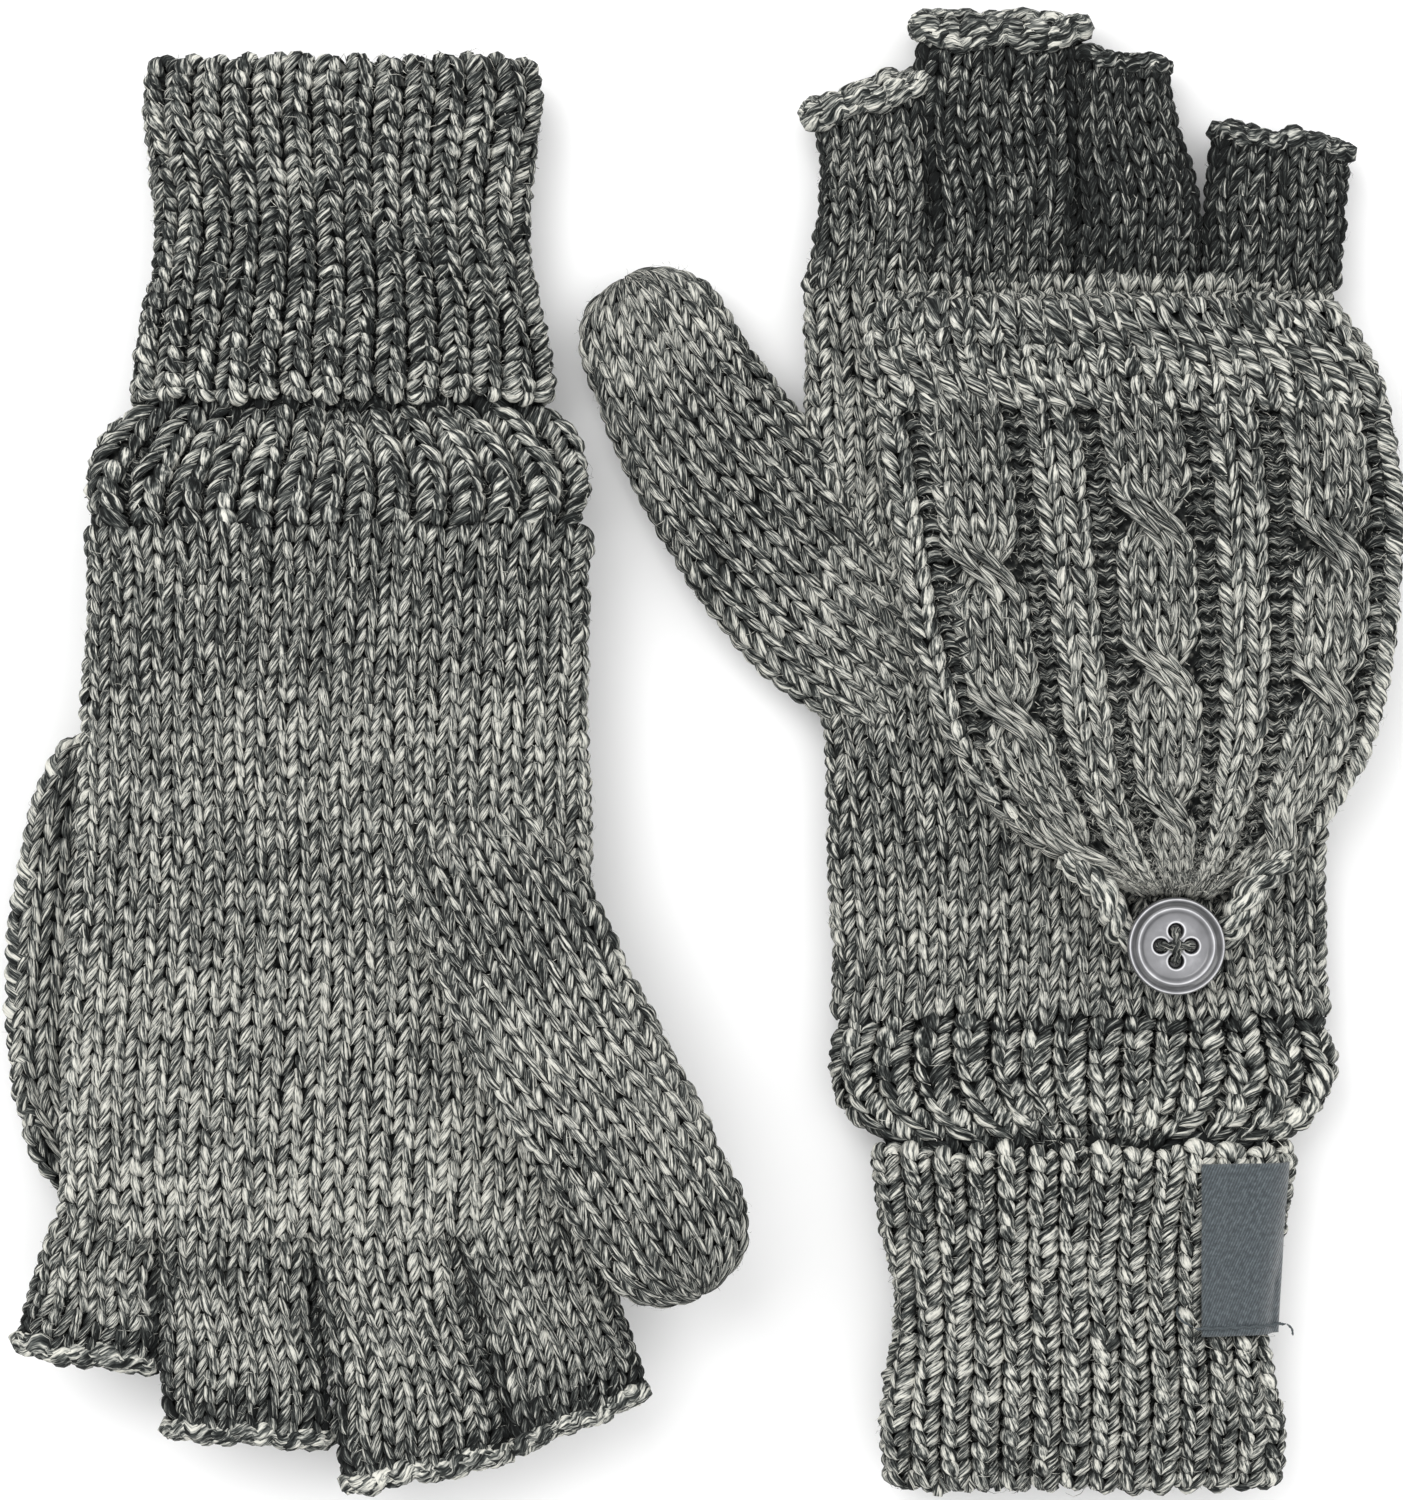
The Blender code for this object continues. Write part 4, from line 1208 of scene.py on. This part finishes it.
def turned_button(side):
    """A polished resin button: a dish inside a ridge, a raised rim and four holes."""
    x, y = button_centre(side)
    front = np.linspace(BUTTON_FACE[0][0], 1.0, 130)
    back = np.linspace(1.0, BUTTON_BACK[-1][0], 24)
    rise = np.interp(front, *zip(*BUTTON_FACE))
    for _ in range(4):
        rise[1:-1] = (rise[:-2] + rise[1:-1] * 2 + rise[2:]) / 4
    share = np.concatenate((front, back))
    rise = np.concatenate((rise, np.interp(back, *zip(*BUTTON_BACK[::-1]))))
    tone = np.concatenate((np.interp(front, *zip(*BUTTON_LIGHT_AND_SHADE)), np.full(len(back), 0.2)))
    upper = np.arange(len(share)) < len(front)
    angle = np.arange(BUTTON_SPOKES) * 2 * math.pi / BUTTON_SPOKES
    across = BUTTON_RADIUS * share[:, None] * np.cos(angle)
    climb = BUTTON_RADIUS * share[:, None] * np.sin(angle)
    beside = np.hypot(np.abs(across) - HOLE_OFFSET, climb)
    above = np.hypot(across, np.abs(climb) - HOLE_OFFSET)
    hole = np.minimum(beside, above)
    sunk = np.clip((HOLE_RADIUS + 0.15 - hole) / 0.3, 0.0, 1.0) * upper[:, None]
    height = rise[:, None] - sunk * (rise[:, None] - 0.3)
    # Painted highlight in a thin ring round each hole, and painted shade down in the holes.
    glint = 0.3 * np.exp(-(((hole - HOLE_RADIUS - 0.3) / 0.12) ** 2)) * upper[:, None]
    tones = (tone[:, None] + glint) * (1 - sunk)
    points = place(side, np.stack((x + across, y + climb, BUTTON_Z + height), axis=-1))
    faces = grid_faces(len(share), BUTTON_SPOKES, wrapped=True)
    if SHAPES[side]["turn"] > 0:
        faces = faces[:, ::-1]
    walked = 0.02 + 0.47 * np.arange(len(share))[:, None] / len(share)
    uv = np.stack((0.5 + walked * np.cos(angle), 0.5 + walked * np.sin(angle)), axis=-1)
    fabric = Fabric(96)
    fabric.add(points, faces, np.stack((across, climb, height), axis=-1), tones, uv.reshape(-1, 2))
    made = fabric.build(side + "_button_disc")
    made.data.materials.clear()
    made.data.materials.append(RESIN)
    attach(made, side + "_button")
    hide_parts(side + "_button")


def sew_button(side):
    """The yarn cross and the wound shank that hold the button."""
    x, y = button_centre(side)
    under = HAND_HALF_DEPTH + GAP
    over = BUTTON_Z + BUTTON_THICK - 0.8
    fabric = Fabric(98)
    for number, angle in enumerate((0.0, math.pi / 2)):
        rising = [(HOLE_OFFSET, under + 1.0), (HOLE_OFFSET, over - 0.9), (HOLE_OFFSET * 0.8, over - 0.1)]
        arch = [(-r, z) for r, z in rising] + [(0.0, over + 0.25 * number)] + rising[::-1]
        path = [(x + r * math.cos(angle), y + r * math.sin(angle), z) for r, z in arch]
        rope(fabric, side, path, 0.85, 2, 3.0, (0, 0.25 * number, 1, 0.23 + 0.25 * number))
    coil = []
    for step in range(60):
        angle = step * 0.75
        radius = 1.9 + 0.2 * math.sin(step)
        height = under + 0.3 + 2.9 * step / 59
        coil.append((x + radius * math.cos(angle), y + radius * math.sin(angle), height))
    rope(fabric, side, coil, 0.6, 2, 3.0, (0, 0.55, 1, 0.99))
    made = fabric.build(side + "_button_yarn")
    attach(made, side + "_button")
    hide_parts(side + "_button_thread")


LABEL_ROWS = 60
LABEL_COLUMNS = 28


LABEL_WIDTH = 12.5
LABEL_HEIGHT = 28.5
LABEL_LIFT = 1.35  # over the cuff's CAD face, to clear its ribs
LABEL_THICK = 0.65


def label_grid(spread_x, spread_y):
    """The label's upper face over the cuff's ribs, which tips down at its far edge."""
    low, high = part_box("right_cuff_label")
    step = wrist_step("right")
    wider = (1.0 + 1.6 * spread_y) * spread_x
    x = (low.x / MM - step[0]) + (high.x - low.x) / MM * spread_x + wider
    y = (low.y / MM - step[1]) + (high.y - low.y) / MM * spread_y
    half = along(CUFF_WIDTH, y)
    share = np.clip(np.abs(x) / half, 0.0, 0.995)
    height = np.minimum(CUFF_HALF_DEPTH * CLIP * (1 - share**POWER) ** (1 / POWER), CUFF_HALF_DEPTH)
    swell = 0.22 * np.sin(spread_x * 9.0 + 0.6) + 0.15 * np.sin(spread_y * 11.0 + spread_x * 3.0)
    curl = 0.5 * np.clip((spread_x - 0.86) / 0.14, 0.0, 1.0) ** 2
    return np.stack((x, y, height + LABEL_LIFT + swell - curl), axis=-1)


def satin_label():
    """A plain woven label that lies on the cuff, with soft edges."""
    rows, columns = LABEL_ROWS, LABEL_COLUMNS
    spread_y, spread_x = np.meshgrid(np.linspace(0, 1, rows), np.linspace(0, 1, columns), indexing="ij")
    top = label_grid(spread_x, spread_y)
    rim_x = np.minimum(spread_x, 1 - spread_x) * LABEL_WIDTH
    rim_y = np.minimum(spread_y, 1 - spread_y) * LABEL_HEIGHT
    soft = 0.28 * (1 - np.sqrt(1 - np.clip(1 - np.minimum(rim_x, rim_y) / 0.4, 0.0, 1.0) ** 2))
    skins = [top - np.stack((0 * soft, 0 * soft, down), axis=-1) for down in (soft, LABEL_THICK - soft)]
    points = np.vstack([place("right", skin).reshape(-1, 3) for skin in skins]) * MM
    far = rows * columns
    quads = grid_faces(rows, columns)
    faces = np.stack((quads, quads[:, ::-1] + far), axis=1).reshape(-1, 4)
    index = np.arange(far).reshape(rows, columns)
    edge = np.concatenate((index[0], index[1:, -1], index[-1, -2::-1], index[-2:0:-1, 0]))
    ahead = np.roll(edge, -1)
    faces = np.vstack((faces, np.column_stack((ahead, edge, edge + far, ahead + far))))
    mesh = bpy.data.meshes.new("right_label")
    mesh.from_pydata(points.tolist(), [], faces.tolist())
    mesh.shade_smooth()
    weave = mesh.attributes.new("weave", "FLOAT_VECTOR", "POINT")
    flat = np.stack((spread_x * LABEL_WIDTH, spread_y * LABEL_HEIGHT, 0 * spread_x), axis=-1).reshape(-1, 3)
    weave.data.foreach_set("vector", np.vstack((flat, flat)).astype(np.float32).ravel())
    mesh.materials.append(SATIN)
    label = add_object("right_label", mesh)
    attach(label, "right_cuff")
    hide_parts("right_cuff_label")
    return label


def label_stitches():
    """The row of thread that holds the label down, with a loose end at each side."""
    fabric = Fabric(99)
    across = np.linspace(-0.1, 1.1, 90)
    inside = np.clip(across, 0.0, 1.0)
    row = label_grid(inside, np.full(len(across), 0.05))
    row[:, 0] += (across - inside) * LABEL_WIDTH
    row[:, 1] += 0.25 * np.sin(across * 40.0)
    row[:, 2] += 0.12 + 0.16 * np.sin(across * 62.0)
    rope(fabric, "right", row, 0.3, 2, 1.6, (0, 0, 1, 0.5))
    left_end = ((0.0, 0.0, 0.0), (-1.8, 0.9, 0.1), (-3.0, 2.2, -0.4), (-2.6, 3.6, -0.6))
    rope(fabric, "right", row[0] + left_end, 0.22, 2, 1.6, (0, 0.55, 1, 0.7))
    right_end = ((0.0, 0.0, 0.0), (1.0, -0.9, -0.5), (1.2, -2.2, -1.2))
    rope(fabric, "right", row[-1] + right_end, 0.22, 2, 1.6, (0, 0.75, 1, 0.95))
    made = fabric.build("right_label_thread")
    made.data.materials[0] = COTTON
    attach(made, "right_cuff")
    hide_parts("right_label_stitching")


# Materials


class Nodes:
    """Short calls to build one material's node tree."""

    def __init__(self, name):
        self.material = bpy.data.materials.new(name)
        self.material.use_nodes = True
        self.tree = self.material.node_tree
        self.shader = self.tree.nodes["Principled BSDF"]

    def new(self, kind, **settings):
        node = self.tree.nodes.new(kind)
        for key, value in settings.items():
            setattr(node, key, value)
        return node

    def fill(self, socket, value):
        if isinstance(value, bpy.types.NodeSocket):
            self.tree.links.new(value, socket)
        else:
            socket.default_value = value

    def attribute(self, name, output="Vector"):
        return self.new("ShaderNodeAttribute", attribute_name=name).outputs[output]

    def parts(self, vector):
        node = self.new("ShaderNodeSeparateXYZ")
        self.fill(node.inputs[0], vector)
        return node.outputs

    def math(self, operation, *values):
        node = self.new("ShaderNodeMath", operation=operation)
        for socket, value in zip(node.inputs, values):
            self.fill(socket, value)
        return node.outputs[0]

    def add(self, first, second):
        return self.math("ADD", first, second)

    def times(self, first, second):
        return self.math("MULTIPLY", first, second)

    def noise(self, vector, scale, detail=2.0):
        node = self.new("ShaderNodeTexNoise")
        self.fill(node.inputs["Vector"], vector)
        node.inputs["Scale"].default_value = scale
        node.inputs["Detail"].default_value = detail
        return node.outputs["Fac"]

    def colour(self, value, *stops):
        """Colours the surface by a value, from (position, colour) stops."""
        node = self.new("ShaderNodeValToRGB")
        self.fill(node.inputs[0], value)
        ramp = node.color_ramp
        while len(ramp.elements) < len(stops):
            ramp.elements.new(0.5)
        for element, (position, colour) in zip(ramp.elements, stops):
            element.position = position
            element.color = (*colour, 1.0)
        self.fill(self.shader.inputs["Base Color"], node.outputs[0])

    def bump(self, height, strength, distance):
        node = self.new("ShaderNodeBump")
        node.inputs["Strength"].default_value = strength
        node.inputs["Distance"].default_value = distance
        self.fill(node.inputs["Height"], height)
        self.fill(self.shader.inputs["Normal"], node.outputs["Normal"])

    def surface(self, **settings):
        """The shader's other inputs, named with _ for each space."""
        for key, value in settings.items():
            self.shader.inputs[key.replace("_", " ")].default_value = value
        return self.material


def yarn_material():
    """Marled yarn: pale and dark fibres that twist slowly along every strand."""
    n = Nodes("marled_yarn")
    length, angle, chance = n.parts(n.attribute("strand"))
    twist = n.add(n.times(length, 2 * math.pi / 26.0), angle)
    cosine = n.math("COSINE", twist)
    sine = n.math("SINE", twist)
    offset = n.times(chance, 40.0)

    def fibres(around, lengthwise, scale, detail):
        vector = n.new("ShaderNodeCombineXYZ")
        n.fill(vector.inputs[0], n.times(cosine, around))
        n.fill(vector.inputs[1], n.times(sine, around))
        n.fill(vector.inputs[2], n.add(n.times(length, lengthwise), offset))
        return n.noise(vector.outputs[0], scale, detail)

    plies = fibres(1.4, 0.16, 1.9, 1.0)
    hairs = fibres(3.4, 0.4, 2.4, 2.0)
    mixed = n.add(n.times(plies, 0.58), n.times(hairs, 0.42))
    mixed = n.times(n.math("SUBTRACT", mixed, 0.5), 3.0)
    mixed = n.add(n.add(mixed, 0.5), n.attribute("tone", "Fac"))
    dark, slate, grey = (0.008, 0.009, 0.009), (0.03, 0.034, 0.033), (0.11, 0.117, 0.11)
    pale, cream = (0.36, 0.365, 0.335), (0.72, 0.71, 0.64)
    n.colour(mixed, (0.2, dark), (0.42, slate), (0.58, grey), (0.72, pale), (0.92, cream))
    n.bump(n.add(hairs, plies), 0.9, 0.0004)
    return n.surface(Roughness=0.88, Specular_IOR_Level=0.12, Sheen_Weight=0.02, Sheen_Roughness=0.5)


def core_material():
    """The fabric behind the stitches, painted near-black as the shade in the gaps between them: rows of small
    purl bumps.
    """
    n = Nodes("yarn_behind")
    strand = n.attribute("strand")
    length, angle, skin = n.parts(strand)
    rows = n.math("SINE", n.times(length, 2 * math.pi))
    waves = n.math("SINE", n.times(angle, 2 * math.pi))
    bumps = n.times(rows, waves)
    fine = n.noise(strand, 3.0, 3.0)
    value = n.add(n.add(n.times(bumps, 0.25), fine), n.times(skin, 0.12))
    n.colour(value, (0.3, (0.008, 0.009, 0.009)), (0.6, (0.02, 0.022, 0.021)), (0.85, (0.11, 0.11, 0.1)))
    n.bump(n.add(bumps, fine), 1.0, 0.0006)
    return n.surface(Roughness=0.95, Specular_IOR_Level=0.1)


def resin_material():
    """Polished grey resin: pearly swirls, painted highlights on its ridges, painted shade in its grooves, and
    fine scratches.
    """
    n = Nodes("button_resin")
    turned = n.attribute("strand")
    swirl = n.math("SUBTRACT", n.noise(turned, 0.35, 3.0), 0.5)
    value = n.add(n.attribute("tone", "Fac"), n.times(swirl, 0.3))
    # Painted shade for the grooves, painted highlight for the bright ridges.
    groove, shade = (0.008, 0.008, 0.009), (0.035, 0.036, 0.038)
    face, ridge = (0.2, 0.2, 0.212), (0.78, 0.78, 0.8)
    n.colour(value, (0.0, groove), (0.25, shade), (0.6, face), (0.95, ridge))
    n.bump(n.noise(turned, 3.0), 0.1, 0.0001)
    return n.surface(Roughness=0.24, Coat_Weight=0.6, Coat_Roughness=0.12)


def satin_material():
    """Slate satin weave with a fine diagonal twill of lighter points."""
    n = Nodes("label_satin_weave")
    weave = n.attribute("weave")
    x, y, _ = n.parts(weave)
    diagonal = n.math("SINE", n.times(n.add(x, n.times(y, 0.8)), 2 * math.pi / 0.42))
    rows = n.math("SINE", n.times(y, 2 * math.pi / 0.36))
    points = n.times(diagonal, rows)
    cloudy = n.noise(weave, 1.4, 3.0)
    value = n.add(n.times(points, 0.32), cloudy)
    n.colour(value, (0.25, (0.022, 0.03, 0.036)), (0.55, (0.052, 0.068, 0.078)), (0.85, (0.15, 0.18, 0.195)))
    n.bump(n.add(points, n.times(cloudy, 0.4)), 0.7, 0.00012)
    return n.surface(Roughness=0.42, Sheen_Weight=0.2)


def cotton_material():
    """Dark sewing thread."""
    n = Nodes("label_cotton")
    streak = n.noise(n.attribute("strand"), 3.0)
    n.colour(streak, (0.3, (0.02, 0.026, 0.03)), (0.7, (0.09, 0.11, 0.12)))
    n.bump(streak, 0.6, 0.0001)
    return n.surface(Roughness=0.7)


FLOOR_REACH = 3.0
FLOOR_DROP = 0.0026  # below the CAD, where the lowest stitches lie
WORLD_STRENGTH = 0.82
# Each soft lamp's place, size and power
LAMPS = (((-0.5, 0.55, 1.1), 1.0, 10.0), ((0.6, 0.3, 1.0), 1.2, 4.0), ((0.1, -0.8, 0.9), 1.2, 2.5))


def build_stage():
    """A pale floor, a white sky and three soft lamps."""
    mesh = bpy.data.meshes.new("floor")
    corners = [(x * FLOOR_REACH, y * FLOOR_REACH, 0.0) for x, y in ((-1, -1), (1, -1), (1, 1), (-1, 1))]
    mesh.from_pydata(corners, [], [(0, 1, 2, 3)])
    floor = add_object("floor", mesh)
    floor.location.z = cad_box[0].z - FLOOR_DROP
    mesh.materials.append(Nodes("floor_white").surface(Base_Color=(0.93, 0.93, 0.93, 1.0), Roughness=0.9))
    world = bpy.data.worlds.new("studio")
    world.use_nodes = True
    sky = world.node_tree.nodes["Background"].inputs
    sky[0].default_value = (1.0, 1.0, 1.0, 1.0)
    sky[1].default_value = WORLD_STRENGTH
    bpy.context.scene.world = world
    for number, (spot, size, power) in enumerate(LAMPS):
        light = bpy.data.lights.new(f"softbox_{number}", "AREA")
        light.size = size
        light.energy = power
        lamp = add_object(f"softbox_{number}", light)
        lamp.location = spot
        lamp.rotation_euler = (-Vector(spot)).to_track_quat("-Z", "Y").to_euler()


def build_camera():
    """Straight above the pair, with the frame just outside its box."""
    low, high = cad_box
    camera = add_object("camera", bpy.data.cameras.new("camera"))
    camera.data.sensor_fit = "VERTICAL"
    camera.data.sensor_height = 36.0
    camera.data.lens = 100.0
    frame_height = (high.y - low.y) * 1.008
    distance = frame_height * camera.data.lens / camera.data.sensor_height
    camera.location = ((low.x + high.x) / 2, (low.y + high.y) / 2, (low.z + high.z) / 2 + distance)
    bpy.context.scene.camera = camera


bpy.context.scene.view_settings.view_transform = "Standard"
YARN = yarn_material()
CORE = core_material()
RESIN = resin_material()
SATIN = satin_material()
COTTON = cotton_material()
build_stage()
build_camera()
for side in SIDES:
    knit_hand(side)
    for number, name in enumerate(FINGERS):
        knit_finger(side, name, number)
    knit_thumb(side)
    knit_wrist(side)
    knit_cuff(side)
    knit_cap(side)
    knit_cap_back(side)
    knit_hinge(side)
    knit_loop(side)
    turned_button(side)
    sew_button(side)
label_piece = satin_label()
label_stitches()
